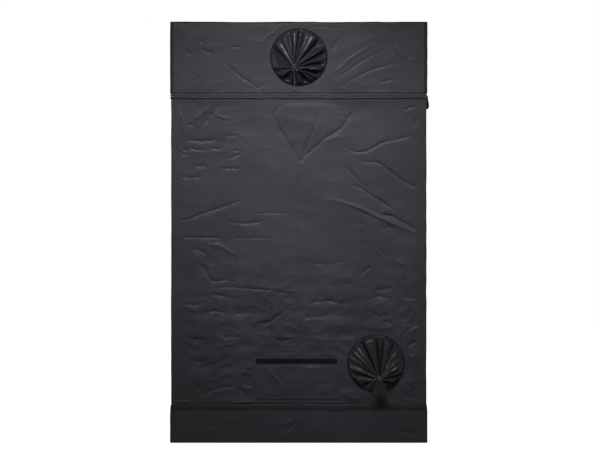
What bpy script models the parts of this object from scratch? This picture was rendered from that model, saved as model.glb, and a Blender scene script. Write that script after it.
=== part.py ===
"""Indoor grow tent: a push-together steel pole frame under a zipped cloth skin.

Lengths are in metres, +Z is up and the origin is the middle of the underside of the floor.
The wall with the two gathered duct ports and the low vent faces -Y, and the door faces +Y.
On each wall, a frame empty on the outer face of the cloth has X along the wall, Z up and -Y outwards.
"""

import math

import bmesh
import bpy
from mathutils import Matrix, Vector

# Overall size of the skin
TENT_WIDTH = 1.220
TENT_DEPTH = 1.220
TENT_HEIGHT = 2.000

# Cloth, seams and cutters
CLOTH = 0.002
SEAM_GAP = 0.0003
CUT_OVERRUN = 0.010

# Steel poles and their swaged joints
POLE_RADIUS = 0.0095
POLE_BORE = 0.0083
SPIGOT_RADIUS = POLE_BORE - SEAM_GAP
SPIGOT_BORE = 0.0070
SPIGOT_LENGTH = 0.045
SWAGE_LENGTH = 0.010
UPRIGHT_JOINT_HEIGHT = 0.980
POLE_SIDES = 12

# Three-way corner fittings
CORNER_REACH = 0.014
CORNER_BEVEL = 0.003
SOCKET_WALL = 0.0024
SOCKET_BORE = POLE_RADIUS + SEAM_GAP
SOCKET_RADIUS = SOCKET_BORE + SOCKET_WALL
SOCKET_LENGTH = 0.050
SOCKET_FLOOR = CORNER_REACH + SEAM_GAP

# Where the pole axes run, from the cloth that the corner fittings touch
CORNER_X = TENT_WIDTH / 2 - CLOTH - SEAM_GAP - CORNER_REACH
CORNER_Y = TENT_DEPTH / 2 - CLOTH - SEAM_GAP - CORNER_REACH
BASE_LEVEL = CLOTH + SEAM_GAP + CORNER_REACH
TOP_LEVEL = TENT_HEIGHT - CLOTH - SEAM_GAP - CORNER_REACH

# Cloth walls, drawn tight over the poles: distance of each outer face from the middle
WALL_X = CORNER_X + POLE_RADIUS + SEAM_GAP + CLOTH
WALL_Y = CORNER_Y + POLE_RADIUS + SEAM_GAP + CLOTH
SKIRT_TOP = 0.178
SKIRT_LAP = 0.020
WALL_BOTTOM = SKIRT_TOP - SKIRT_LAP

# Extension zip round the tent, between the walls and the top section
TOP_SECTION_DEPTH = 0.3495
ZIP_LEVEL = TENT_HEIGHT - TOP_SECTION_DEPTH
TAPE_WIDTH = 0.0130
TAPE_THICKNESS = 0.0012
TOOTH_WIDTH = 0.0032
TOOTH_RISE = 0.0015
TAPE_REST = SEAM_GAP
TAPE_FACE = TAPE_REST + TAPE_THICKNESS
TOOTH_FACE = TAPE_FACE + TOOTH_RISE
CLOTH_SETBACK = 0.003
WALL_TOP = ZIP_LEVEL - CLOTH_SETBACK
TOP_HEM = ZIP_LEVEL + TAPE_WIDTH + SEAM_GAP

# The zip runs outside the corner fittings, so that the top section lifts off over them
HEM_X = CORNER_X + CORNER_REACH
HEM_Y = CORNER_Y + CORNER_REACH
HEM_FLARE = HEM_X - WALL_X
FLARE_LENGTH = 0.040

# Folds pressed into the cloth walls
FOLD_HEIGHT = 0.0045
FOLD_SPREAD = 0.042
FOLD_FADE = 0.060
FOLDS_START = 0.540
REAR_CELLS = (20, 26)
SIDE_CELLS = (12, 16)
FRONT_CELLS = (6, 9)

# Top section and floor pan
ROOF_EDGE = CORNER_BEVEL
PAN_EDGE = CORNER_BEVEL
SKIRT_LEAN_LENGTH = 0.030
TRAY_CLOTH = 0.0012
TRAY_MARGIN = 0.004
TRAY_DEPTH = 0.075

# Hanging bars, hooked over the side poles of the roof
BAR_RADIUS = POLE_RADIUS
BAR_BORE = POLE_BORE
BAR_END_CLEARANCE = 0.004
BAR_OFFSET = 0.200
HOOK_THICKNESS = 0.002
HOOK_WIDTH = 0.018
HOOK_LAP = 0.030
HOOK_SINK = 0.001
HOOK_WRAP = math.radians(100)
HOOK_ARC_STEPS = 8

# Door, cut into the front wall and hinged at its edge nearest -X in the wall's own frame
DOOR_SIDE_MARGIN = 0.150
DOOR_HEADROOM = 0.0725
DOOR_HALF_WIDTH = TENT_WIDTH / 2 - DOOR_SIDE_MARGIN
DOOR_BOTTOM = 0.225
DOOR_TOP = WALL_TOP - DOOR_HEADROOM
DOOR_CORNER = 0.070
DOOR_TAPE_START = 0.004
DOOR_ARC_STEPS = 6
HINGE_OUT = TOOTH_FACE + SEAM_GAP

# Window in the door
WINDOW_HALF_WIDTH = 0.200
WINDOW_HEIGHT = 0.460
WINDOW_HEADROOM = 0.115
WINDOW_TOP = DOOR_TOP - WINDOW_HEADROOM
WINDOW_BOTTOM = WINDOW_TOP - WINDOW_HEIGHT
WINDOW_CORNER = 0.030
PANE_LAP = 0.012
PANE_THICKNESS = 0.0008
WINDOW_FLAP_LAP = 0.025
FLAP_ARC_STEPS = 4

# Zip sliders and their pulls
SLIDER_HALF_WIDTH = 0.0062
SLIDER_HALF_LENGTH = 0.0085
SLIDER_PLATE = 0.0020
SLIDER_CORNER = 0.0025
BAIL_HALF_LENGTH = 0.0060
BAIL_RISE = 0.0044
BAIL_BAR = 0.0012
BAIL_WIDTH = 0.0030
DOOR_SLIDER_LEVEL = (DOOR_BOTTOM + DOOR_TOP) / 2
DOOR_SLIDER_GAP = 0.030
PULL_BAR = 0.0018
PULL_HALF_WIDTH = 0.0046
PULL_LENGTH = 0.044
PULL_EYE_HALF_WIDTH = 0.0021
PULL_EYE_LENGTH = 0.0078
PULL_CORNER = 0.003
EXTENSION_SLIDER_INSET = 0.050
RING_RADIUS = 0.0033
RING_BORE = 0.0019
RING_ARC_START = math.radians(-20)
RING_ARC = math.radians(220)
RING_ARC_STEPS = 10
TAB_LENGTH = 0.0595
TAB_OUTER = 0.0042
TAB_INNER = 0.0048
TAB_THICKNESS = 0.0024
TAB_OUTER_SHARES = (0.45, 0.70)
TAB_INNER_SHARE = 0.72

# Low vents: screen, cover flap and the hook-and-loop strip along its upper edge
VENT_HALF_WIDTH = 0.193
REAR_VENT_OFFSET = -0.010
FLAP_BOTTOM = 0.205
FLAP_TOP = 0.400
FLAP_MARGIN = 0.018
SCREEN_LAP = 0.006
SCREEN_THICKNESS = 0.001
STRIP_HEIGHT = 0.021
STRIP_THICKNESS = 0.0016

# Gathered duct ports
PORT_RADIUS = 0.135
PORT_HOLE = 0.122
PORT_LIP = 0.0035
COLLAR_RISE = 0.003
COLLAR_CROWN = 0.0055
COLLAR_BAND = 0.008
NECK_RADIUS = 0.011
NECK_OUT = 0.045
NECK_BEND = 0.006
SLEEVE_CLOTH = 0.003
PLEATS = 11
POINTS_PER_PLEAT = 4
PLEAT_DEPTH = 0.010
CONE_RINGS = 6
CONE_LEAN_POWER = 1.2
CONE_BULGE_POWER = 0.8
LINING_RING_SHARES = (0.10, 0.30, 0.55, 0.78)
TAIL_RING_SHARES = (0.0, 0.40, 0.75, 1.0)
NECK_SWELL_SHARE = 0.05
TAIL_SWELL_SHARE = 0.08
UPPER_PORT_DROP = 0.166
UPPER_PORT = (0.000, TENT_HEIGHT - UPPER_PORT_DROP)
UPPER_GATHER = (-0.020, -0.051)
UPPER_TAIL = 0.022
UPPER_TAIL_HALF_WIDTH = 0.013
LOWER_PORT = (0.367, 0.379)
LOWER_GATHER = (0.015, -0.069)
LOWER_TAIL = 0.082
LOWER_TAIL_HALF_WIDTH = 0.038
TAIL_THICKNESS = 0.0065
HOLE_SIDES = 32

# Edges sharper than these stay crisp under smooth shading
SHARP_EDGE = math.radians(35)
SHARP_PLEAT = math.radians(60)

QUARTER_TURN = math.radians(90)
HALF_TURN = math.radians(180)

# Drawstrings that close the ports
STRING_RADIUS = 0.0015
STRING_STEP = 0.0070
UPPER_STRING = ((0.0, 0.0, 0.0), (0.0, 0.0, -0.028), (0.001, 0.001, -0.056), (-0.001, 0.002, -0.084))
LOWER_STRING = (
    (0.0, 0.0, 0.0),
    (-0.008, 0.0, -0.0004),
    (-0.022, 0.007, -0.009),
    (-0.038, 0.017, -0.026),
    (-0.046, 0.027, -0.049),
    (-0.040, 0.035, -0.072),
    (-0.027, 0.040, -0.089),
)

# Folds of the walls as shares: along the half span, then up the wall, for both ends, then the height
REAR_FOLD_SHARES = (
    ((-0.21, 0.965), (0.01, 0.80), 0.8),
    ((0.175, 0.96), (0.02, 0.805), -0.6),
    ((0.45, 0.945), (0.03, 0.81), 0.9),
    ((0.0, 0.788), (0.0, 0.25), -0.5),
    ((0.045, 0.70), (0.37, 0.663), 0.8),
    ((0.37, 0.663), (0.775, 0.594), 1.0),
    ((0.775, 0.594), (0.976, 0.561), 0.8),
    ((0.37, 0.735), (0.68, 0.675), -0.6),
    ((0.64, 0.78), (0.976, 0.70), 0.6),
    ((-0.96, 0.612), (-0.43, 0.667), 0.7),
    ((-0.90, 0.551), (-0.10, 0.535), -0.6),
    ((-0.85, 0.80), (-0.40, 0.80), -0.4),
)
SIDE_FOLD_SHARES = (
    ((-0.75, 0.93), (0.05, 0.70), 0.9),
    ((0.80, 0.90), (0.10, 0.66), 0.7),
    ((0.0, 0.70), (0.0, 0.30), -0.5),
    ((-0.85, 0.60), (-0.20, 0.52), 0.7),
    ((0.15, 0.50), (0.85, 0.58), -0.7),
    ((0.25, 0.38), (0.90, 0.44), 0.6),
)


def clear_scene():
    for obj in list(bpy.data.objects):
        bpy.data.objects.remove(obj, do_unlink=True)


def new_collection(name):
    collection = bpy.data.collections.new(name)
    bpy.context.scene.collection.children.link(collection)
    return collection


def new_material(name, colour, roughness, metallic=0.0):
    finish = bpy.data.materials.new(name)
    finish.use_nodes = True
    shader = finish.node_tree.nodes["Principled BSDF"]
    shader.inputs["Base Color"].default_value = (*colour, 1.0)
    shader.inputs["Roughness"].default_value = roughness
    shader.inputs["Metallic"].default_value = metallic
    return finish


clear_scene()
PARTS = new_collection("grow_tent")
CUTTERS = new_collection("grow_tent_cutters")

WALL_CLOTH = new_material("wall_cloth", (0.045, 0.044, 0.049), 0.55)
FLOOR_CLOTH = new_material("floor_cloth", (0.030, 0.030, 0.034), 0.50)
SLEEVE_CLOTH_FINISH = new_material("sleeve_cloth", (0.018, 0.018, 0.022), 0.32)
MESH_CLOTH = new_material("vent_mesh", (0.012, 0.012, 0.014), 0.80)
HOOK_AND_LOOP = new_material("hook_and_loop", (0.008, 0.008, 0.010), 0.90)
ZIP_TAPE = new_material("zip_tape", (0.016, 0.016, 0.018), 0.70)
ZIP_METAL = new_material("zip_metal", (0.060, 0.060, 0.065), 0.40, 1.0)
PULL_RUBBER = new_material("pull_rubber", (0.010, 0.010, 0.011), 0.60)
POLE_PAINT = new_material("pole_paint", (0.62, 0.62, 0.60), 0.38, 0.3)
CORNER_STEEL = new_material("corner_steel", (0.50, 0.50, 0.50), 0.34, 0.9)
TRAY_CLOTH_FINISH = new_material("tray_cloth", (0.020, 0.020, 0.022), 0.48)
WINDOW_SHEET = new_material("window_sheet", (0.16, 0.42, 0.18), 0.15)
CORD_FINISH = new_material("cord", (0.30, 0.30, 0.31), 0.75)


def add_object(name, data, finish, parent=None, place=(0, 0, 0), turn=(0, 0, 0)):
    """A named part of the tent, placed in its parent's frame."""
    obj = bpy.data.objects.new(name, data)
    if not data.materials:
        data.materials.append(finish)
    PARTS.objects.link(obj)
    obj.parent = parent
    obj.location = place
    obj.rotation_euler = turn
    return obj


def add_frame(name, place, turn=(0, 0, 0), parent=None):
    """An empty that carries parts: on a wall's face, or on the axis of a moving part."""
    frame = bpy.data.objects.new(name, None)
    frame.empty_display_size = CORNER_REACH
    PARTS.objects.link(frame)
    frame.parent = parent
    frame.location = place
    frame.rotation_euler = turn
    return frame


def as_cutter(obj):
    """Moves a helper shape out of the parts, where it only cuts or joins."""
    PARTS.objects.unlink(obj)
    CUTTERS.objects.link(obj)
    obj.hide_render = True
    obj.display_type = "WIRE"
    return obj


def apply_boolean(target, helper, operation):
    modifier = target.modifiers.new(helper.name, "BOOLEAN")
    modifier.operation = operation
    modifier.object = helper
    modifier.solver = "EXACT"


def bmesh_to_mesh(name, shape):
    bmesh.ops.recalc_face_normals(shape, faces=shape.faces)
    mesh = bpy.data.meshes.new(name)
    shape.to_mesh(mesh)
    shape.free()
    return mesh


def smooth(mesh, angle=SHARP_EDGE):
    mesh.shade_smooth()
    mesh.set_sharp_from_angle(angle=angle)
    return mesh


def block(name, size, finish, parent=None, place=(0, 0, 0), bevel=0.0):
    """A box of the given size, centred on its place, with an optional bevel."""
    shape = bmesh.new()
    bmesh.ops.create_cube(shape, size=1.0, matrix=Matrix.Diagonal((*size, 1.0)))
    obj = add_object(name, bmesh_to_mesh(name, shape), finish, parent, place)
    if bevel:
        edge = obj.modifiers.new("edge", "BEVEL")
        edge.width = bevel
        edge.segments = 1
    return obj


def rod(name, radius, start, end, sides, finish, parent=None, place=(0, 0, 0), turn=(0, 0, 0)):
    """A solid round bar along its local Z, from start to end."""
    shape = bmesh.new()
    bmesh.ops.create_cone(
        shape,
        cap_ends=True,
        segments=sides,
        radius1=radius,
        radius2=radius,
        depth=end - start,
        matrix=Matrix.Translation((0, 0, (start + end) / 2)),
    )
    return add_object(name, bmesh_to_mesh(name, shape), finish, parent, place, turn)


def turned(name, profile, finish, place, turn=(0, 0, 0)):
    """A turned tube: a closed profile, running down its outer side first, swept round local Z."""
    mesh = bpy.data.meshes.new(name)
    points = [(radius, 0.0, height) for radius, height in profile]
    edges = [(i, (i + 1) % len(points)) for i in range(len(points))]
    mesh.from_pydata(points, edges, [])
    obj = add_object(name, mesh, finish, None, place, turn)
    screw = obj.modifiers.new("turn", "SCREW")
    screw.axis = "Z"
    screw.angle = math.tau
    screw.steps = POLE_SIDES
    screw.render_steps = POLE_SIDES
    screw.use_merge_vertices = True
    screw.merge_threshold = SEAM_GAP / POLE_SIDES
    screw.use_smooth_shade = True
    return obj


def plate(name, outlines, thickness, finish, parent, place, turn):
    """A flat plate from its outline and holes, half its thickness each side of its place."""
    curve = bpy.data.curves.new(name, "CURVE")
    curve.dimensions = "2D"
    curve.fill_mode = "BOTH"
    curve.extrude = thickness / 2
    for outline in outlines:
        spline = curve.splines.new("POLY")
        spline.points.add(len(outline) - 1)
        for point, (across, up) in zip(spline.points, outline):
            point.co = (across, up, 0.0, 1.0)
        spline.use_cyclic_u = True
    return add_object(name, curve, finish, parent, place, turn)


def meshed(curve_object):
    """The same part as a welded mesh, so that it can be cut or joined."""
    bpy.context.view_layer.update()
    evaluated = curve_object.evaluated_get(bpy.context.evaluated_depsgraph_get())
    mesh = bpy.data.meshes.new_from_object(evaluated)
    shape = bmesh.new()
    shape.from_mesh(mesh)
    bmesh.ops.remove_doubles(shape, verts=shape.verts, dist=SEAM_GAP / POLE_SIDES)
    shape.to_mesh(mesh)
    shape.free()
    name = curve_object.name
    finish = curve_object.data.materials[0]
    parent = curve_object.parent
    place = curve_object.location.copy()
    turn = curve_object.rotation_euler.copy()
    bpy.data.objects.remove(curve_object, do_unlink=True)
    return add_object(name, mesh, finish, parent, place, turn)


UPRIGHT_TURN = (QUARTER_TURN, 0, 0)
EDGEWISE_TURN = (QUARTER_TURN, 0, -QUARTER_TURN)


def wall_plate(name, outlines, inner, thickness, finish, parent, place=(0, 0, 0)):
    """A plate parallel to a wall, from inner to inner + thickness outside the frame's face."""
    middle = inner + thickness / 2
    return plate(
        name,
        outlines,
        thickness,
        finish,
        parent,
        (place[0], place[1] - middle, place[2]),
        UPRIGHT_TURN,
    )


def rounded_rectangle(low, high, radii=(0, 0, 0, 0), steps=1):
    """Corners in turn from low-low, anticlockwise; each radius may be zero."""
    corners = (
        (low[0], low[1], 1, 1, math.pi),
        (high[0], low[1], -1, 1, 1.5 * math.pi),
        (high[0], high[1], -1, -1, 0.0),
        (low[0], high[1], 1, -1, 0.5 * math.pi),
    )
    points = []
    for (across, up, inward, upward, start), radius in zip(corners, radii):
        if not radius:
            points.append((across, up))
            continue
        for step in range(steps + 1):
            angle = start + 0.5 * math.pi * step / steps
            points.append(
                (
                    across + inward * radius + radius * math.cos(angle),
                    up + upward * radius + radius * math.sin(angle),
                )
            )
    return points


def loft(shape, rings, closed=True):
    """Quads between rings of equal length; returns the rings as vertices."""
    made = [[shape.verts.new(point) for point in ring] for ring in rings]
    count = len(rings[0])
    last = count if closed else count - 1
    for near, far in zip(made, made[1:]):
        for i in range(last):
            j = (i + 1) % count
            shape.faces.new((near[i], near[j], far[j], far[i]))
    return made


def swept_band(name, path, profile, closed, to_space, finish, parent=None):
    """A profile of (outward, height) points carried along a flat path with mitred corners."""
    count = len(path)
    sections = []
    for i, point in enumerate(path):
        here = Vector(point)
        before = here - Vector(path[i - 1]) if closed or i else None
        after = Vector(path[(i + 1) % count]) - here if closed or i < count - 1 else None
        sides = [Vector((step.y, -step.x)).normalized() for step in (before, after) if step]
        outward = sum(sides, Vector((0, 0)))
        outward = outward / outward.length_squared * len(sides)
        sections.append([to_space(here + outward * reach, height) for reach, height in profile])
    if closed:
        sections.append(sections[0])
    shape = bmesh.new()
    rings = loft(shape, sections)
    if closed:
        bmesh.ops.remove_doubles(shape, verts=shape.verts, dist=SEAM_GAP / POLE_SIDES)
    else:
        shape.faces.new(rings[0])
        shape.faces.new(rings[-1])
    return add_object(name, bmesh_to_mesh(name, shape), finish, parent)


def open_box(name, levels, thickness, finish):
    """A cloth box open at one end, from (half width, half depth, height) levels, closed end first."""
    rings = [
        [(-across, -deep, up), (across, -deep, up), (across, deep, up), (-across, deep, up)]
        for across, deep, up in levels
    ]
    shape = bmesh.new()
    made = loft(shape, rings)
    shape.faces.new(made[0])
    obj = add_object(name, bmesh_to_mesh(name, shape), finish)
    shell = obj.modifiers.new("cloth", "SOLIDIFY")
    shell.thickness = thickness
    shell.offset = -1.0
    shell.use_even_offset = True
    return obj


def corner_mesh():
    """Three-way fitting: a bevelled block with an open socket along +X, +Y and +Z."""
    size = (2 * CORNER_REACH,) * 3
    fitting = block("corner_fitting", size, CORNER_STEEL, bevel=CORNER_BEVEL)
    turns = ((0, 0, 0), (0, QUARTER_TURN, 0), (-QUARTER_TURN, 0, 0))
    helpers = [fitting]
    for index, turn in enumerate(turns):
        name = f"socket_{index}"
        socket = rod(name, SOCKET_RADIUS, 0, SOCKET_LENGTH, POLE_SIDES, CORNER_STEEL, turn=turn)
        helpers.append(as_cutter(socket))
        apply_boolean(fitting, socket, "UNION")
    for index, turn in enumerate(turns):
        name = f"socket_bore_{index}"
        end = SOCKET_LENGTH + CUT_OVERRUN
        bore = rod(name, SOCKET_BORE, SOCKET_FLOOR, end, POLE_SIDES, CORNER_STEEL, turn=turn)
        helpers.append(as_cutter(bore))
        apply_boolean(fitting, bore, "DIFFERENCE")
    bpy.context.view_layer.update()
    evaluated = fitting.evaluated_get(bpy.context.evaluated_depsgraph_get())
    mesh = bpy.data.meshes.new_from_object(evaluated)
    for helper in helpers:
        bpy.data.objects.remove(helper, do_unlink=True)
    mesh.materials.clear()
    mesh.materials.append(CORNER_STEEL)
    return smooth(mesh)


def build_corners():
    """Eight copies of one fitting, turned so that its sockets point along the tent's edges."""
    mesh = corner_mesh()
    plan = (
        ("rear_left", -1, -1),
        ("rear_right", 1, -1),
        ("front_right", 1, 1),
        ("front_left", -1, 1),
    )
    for quarters, (name, across, deep) in enumerate(plan):
        place = (across * CORNER_X, deep * CORNER_Y)
        base_turn = (0, 0, quarters * QUARTER_TURN)
        add_object(f"base_corner_{name}", mesh, None, None, (*place, BASE_LEVEL), base_turn)
        top_turn = (HALF_TURN, 0, (quarters + 1) * QUARTER_TURN)
        add_object(f"top_corner_{name}", mesh, None, None, (*place, TOP_LEVEL), top_turn)


def build_rails():
    """Four poles round the base and four round the roof, between the corner fittings."""
    inset = SOCKET_FLOOR + SEAM_GAP
    long_x = CORNER_X - inset
    long_y = CORNER_Y - inset
    for level_name, level in (("base", BASE_LEVEL), ("top", TOP_LEVEL)):
        for side, sign in (("rear", -1), ("front", 1)):
            place = (0, sign * CORNER_Y, level)
            add_rail(f"{level_name}_pole_{side}", long_x, place, (0, QUARTER_TURN, 0))
        for side, sign in (("left", -1), ("right", 1)):
            place = (sign * CORNER_X, 0, level)
            add_rail(f"{level_name}_pole_{side}", long_y, place, (QUARTER_TURN, 0, 0))


def add_rail(name, half_length, place, turn):
    profile = (
        (POLE_RADIUS, half_length),
        (POLE_RADIUS, -half_length),
        (POLE_BORE, -half_length),
        (POLE_BORE, half_length),
    )
    turned(name, profile, POLE_PAINT, place, turn)


def build_uprights():
    """Each corner post is a lower pole with a swaged end inside an upper pole."""
    inset = SOCKET_FLOOR + SEAM_GAP
    bottom = BASE_LEVEL + inset
    top = TOP_LEVEL - inset
    joint = UPRIGHT_JOINT_HEIGHT
    lower = (
        (SPIGOT_RADIUS, joint + SPIGOT_LENGTH),
        (SPIGOT_RADIUS, joint),
        (POLE_RADIUS, joint - SWAGE_LENGTH / 2),
        (POLE_RADIUS, bottom),
        (POLE_BORE, bottom),
        (POLE_BORE, joint - SWAGE_LENGTH),
        (SPIGOT_BORE, joint),
        (SPIGOT_BORE, joint + SPIGOT_LENGTH),
    )
    upper = (
        (POLE_RADIUS, top),
        (POLE_RADIUS, joint + SEAM_GAP),
        (POLE_BORE, joint + SEAM_GAP),
        (POLE_BORE, top),
    )
    for side, deep in (("rear", -1), ("front", 1)):
        for hand, across in (("left", -1), ("right", 1)):
            place = (across * CORNER_X, deep * CORNER_Y, 0)
            turned(f"lower_upright_{side}_{hand}", lower, POLE_PAINT, place)
            turned(f"upper_upright_{side}_{hand}", upper, POLE_PAINT, place)


def hook_outline():
    """Side view of a bar's end hook: flat over the bar, then curled down over the pole."""
    inner = POLE_RADIUS + SEAM_GAP
    outer = inner + HOOK_THICKNESS
    start = -POLE_RADIUS - BAR_END_CLEARANCE - HOOK_LAP
    angles = [math.pi / 2 - HOOK_WRAP * step / HOOK_ARC_STEPS for step in range(HOOK_ARC_STEPS + 1)]
    over = [(outer * math.cos(angle), outer * math.sin(angle)) for angle in angles]
    under = [(inner * math.cos(angle), inner * math.sin(angle)) for angle in reversed(angles)]
    return [(start, outer), *over, *under, (start, inner)]


def build_hanging_bars():
    """Each bar is a tube across the roof with a steel hook over the side pole at each end."""
    half_length = CORNER_X - POLE_RADIUS - BAR_END_CLEARANCE
    level = TOP_LEVEL + POLE_RADIUS + SEAM_GAP + HOOK_SINK - BAR_RADIUS
    profile = (
        (BAR_RADIUS, half_length),
        (BAR_RADIUS, -half_length),
        (BAR_BORE, -half_length),
        (BAR_BORE, half_length),
    )
    for side, sign in (("rear", -1), ("front", 1)):
        name = f"hanging_bar_{side}"
        place = (0, sign * BAR_OFFSET, level)
        bar = turned(name, profile, POLE_PAINT, place, (0, QUARTER_TURN, 0))
        for hand, turn in (("left", HALF_TURN), ("right", 0)):
            across = CORNER_X if hand == "right" else -CORNER_X
            hook = plate(
                f"{name}_hook_{hand}",
                [hook_outline()],
                HOOK_WIDTH,
                POLE_PAINT,
                None,
                (across, sign * BAR_OFFSET, TOP_LEVEL),
                (QUARTER_TURN, 0, turn),
            )
            apply_boolean(bar, as_cutter(meshed(hook)), "UNION")


def build_floor():
    """Floor pan with its skirt, and the lift-out spill tray that lies in it."""
    outer_x = TENT_WIDTH / 2
    outer_y = TENT_DEPTH / 2
    lip_x = WALL_X + SEAM_GAP + CLOTH
    lip_y = WALL_Y + SEAM_GAP + CLOTH
    open_box(
        "floor_pan",
        (
            (outer_x - PAN_EDGE, outer_y - PAN_EDGE, 0),
            (outer_x, outer_y, PAN_EDGE),
            (outer_x, outer_y, SKIRT_TOP - SKIRT_LEAN_LENGTH),
            (lip_x, lip_y, SKIRT_TOP),
        ),
        CLOTH,
        FLOOR_CLOTH,
    )
    tray_x = CORNER_X - SOCKET_RADIUS - TRAY_MARGIN
    tray_y = CORNER_Y - SOCKET_RADIUS - TRAY_MARGIN
    bottom = CLOTH + SEAM_GAP
    open_box(
        "floor_tray",
        (
            (tray_x - PAN_EDGE, tray_y - PAN_EDGE, bottom),
            (tray_x, tray_y, bottom + PAN_EDGE),
            (tray_x, tray_y, bottom + TRAY_DEPTH),
        ),
        TRAY_CLOTH,
        TRAY_CLOTH_FINISH,
    )


def ramp(distance, length):
    return min(1.0, max(0.0, distance / length))


def fold_relief(across, up, half_span, flat_edge, folds):
    """How far the cloth stands proud at a point of a wall, which stays flat over its poles."""
    height = WALL_TOP - WALL_BOTTOM
    here = Vector((across, up))
    relief = 0.0
    for start, end, share in folds:
        near = Vector((start[0] * half_span, WALL_BOTTOM + start[1] * height))
        along = Vector((end[0] * half_span, WALL_BOTTOM + end[1] * height)) - near
        reach = ramp((here - near).dot(along), along.length_squared)
        distance = (here - near - along * reach).length
        relief += share * math.exp(-((distance / FOLD_SPREAD) ** 2))
    calm = ramp(half_span - abs(across) - flat_edge, FOLD_FADE)
    calm *= ramp(WALL_TOP - up - FOLD_FADE / 2, FOLD_FADE)
    calm *= ramp(up - FOLDS_START, FOLD_FADE)
    return FOLD_HEIGHT * calm * relief


def cloth_wall(name, frame, half_span, cells, folds):
    """A cloth wall from a grid: folds pressed in, the upper edge let out to the zip, thickness inwards."""
    shape = bmesh.new()
    bmesh.ops.create_grid(shape, x_segments=cells[0], y_segments=cells[1], size=1.0)
    flat_edge = 2 * half_span / cells[0]
    for vertex in shape.verts:
        across = vertex.co.x * half_span
        row = round((vertex.co.y + 1) / 2 * cells[1])
        up = WALL_TOP
        out = HEM_FLARE
        if row < cells[1]:
            up = WALL_BOTTOM + (WALL_TOP - FLARE_LENGTH - WALL_BOTTOM) * row / (cells[1] - 1)
            out = fold_relief(across, up, half_span, flat_edge, folds)
        vertex.co = (across, -out, up)
    mesh = bpy.data.meshes.new(name)
    shape.to_mesh(mesh)
    shape.free()
    mesh.shade_smooth()
    obj = add_object(name, mesh, WALL_CLOTH, frame)
    shell = obj.modifiers.new("cloth", "SOLIDIFY")
    shell.thickness = CLOTH
    shell.offset = -1.0
    return obj


def cut_vent(wall, frame, offset):
    """The screened opening, inside the outline of its cover flap."""
    bottom = FLAP_BOTTOM + FLAP_MARGIN
    top = FLAP_TOP - STRIP_HEIGHT
    size = (2 * (VENT_HALF_WIDTH - FLAP_MARGIN), CUT_OVERRUN, top - bottom)
    cutter = block(f"{wall.name}_vent_cut", size, WALL_CLOTH, frame, (offset, 0, (bottom + top) / 2))
    apply_boolean(wall, as_cutter(cutter), "DIFFERENCE")


def cut_port(target, frame, port):
    """A round hole for a duct, through the cloth."""
    cutter = rod(
        f"{target.name}_port_cut",
        PORT_HOLE,
        -CUT_OVERRUN,
        CUT_OVERRUN,
        HOLE_SIDES,
        WALL_CLOTH,
        frame,
        (port[0], 0, port[1]),
        UPRIGHT_TURN,
    )
    apply_boolean(target, as_cutter(cutter), "DIFFERENCE")


def door_path(outset):
    """The zip's centre line round the free edges of the door, moved outwards by outset."""
    start = -DOOR_HALF_WIDTH + DOOR_TAPE_START
    right = DOOR_HALF_WIDTH + outset
    low = DOOR_BOTTOM - outset
    high = DOOR_TOP + outset
    radius = DOOR_CORNER + outset
    corners = rounded_rectangle((start, low), (right, high), (0, radius, radius, 0), DOOR_ARC_STEPS)
    return corners


def door_outline(inset, hinge_gap):
    """The door's cloth or its opening: rounded at the free side and square at the hinge side."""
    low = (-DOOR_HALF_WIDTH + hinge_gap, DOOR_BOTTOM + inset)
    high = (DOOR_HALF_WIDTH - inset, DOOR_TOP - inset)
    radius = DOOR_CORNER - inset
    return rounded_rectangle(low, high, (0, radius, radius, 0), DOOR_ARC_STEPS)


def wall_space(point, height):
    return (point.x, -height, point.y)


def zip_profile(sign):
    """A zip tape with its row of teeth, on one side of the zip's centre line."""
    return [
        (sign * SEAM_GAP, TAPE_REST),
        (sign * TAPE_WIDTH, TAPE_REST),
        (sign * TAPE_WIDTH, TAPE_FACE),
        (sign * TOOTH_WIDTH, TAPE_FACE),
        (sign * TOOTH_WIDTH, TOOTH_FACE),
        (sign * SEAM_GAP, TOOTH_FACE),
    ]


def build_front_wall(frame):
    """The wall with the door opening, and the zip tape sewn round it."""
    wall = cloth_wall("front_wall", frame, WALL_X, FRONT_CELLS, ())
    opening = [door_outline(-CLOTH_SETBACK, -SEAM_GAP)]
    cutter = wall_plate("door_opening_cut", opening, -CUT_OVERRUN, 2 * CUT_OVERRUN, WALL_CLOTH, frame)
    apply_boolean(wall, as_cutter(meshed(cutter)), "DIFFERENCE")
    swept_band("door_zip_wall_side", door_path(0), zip_profile(1), False, wall_space, ZIP_TAPE, frame)


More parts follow.
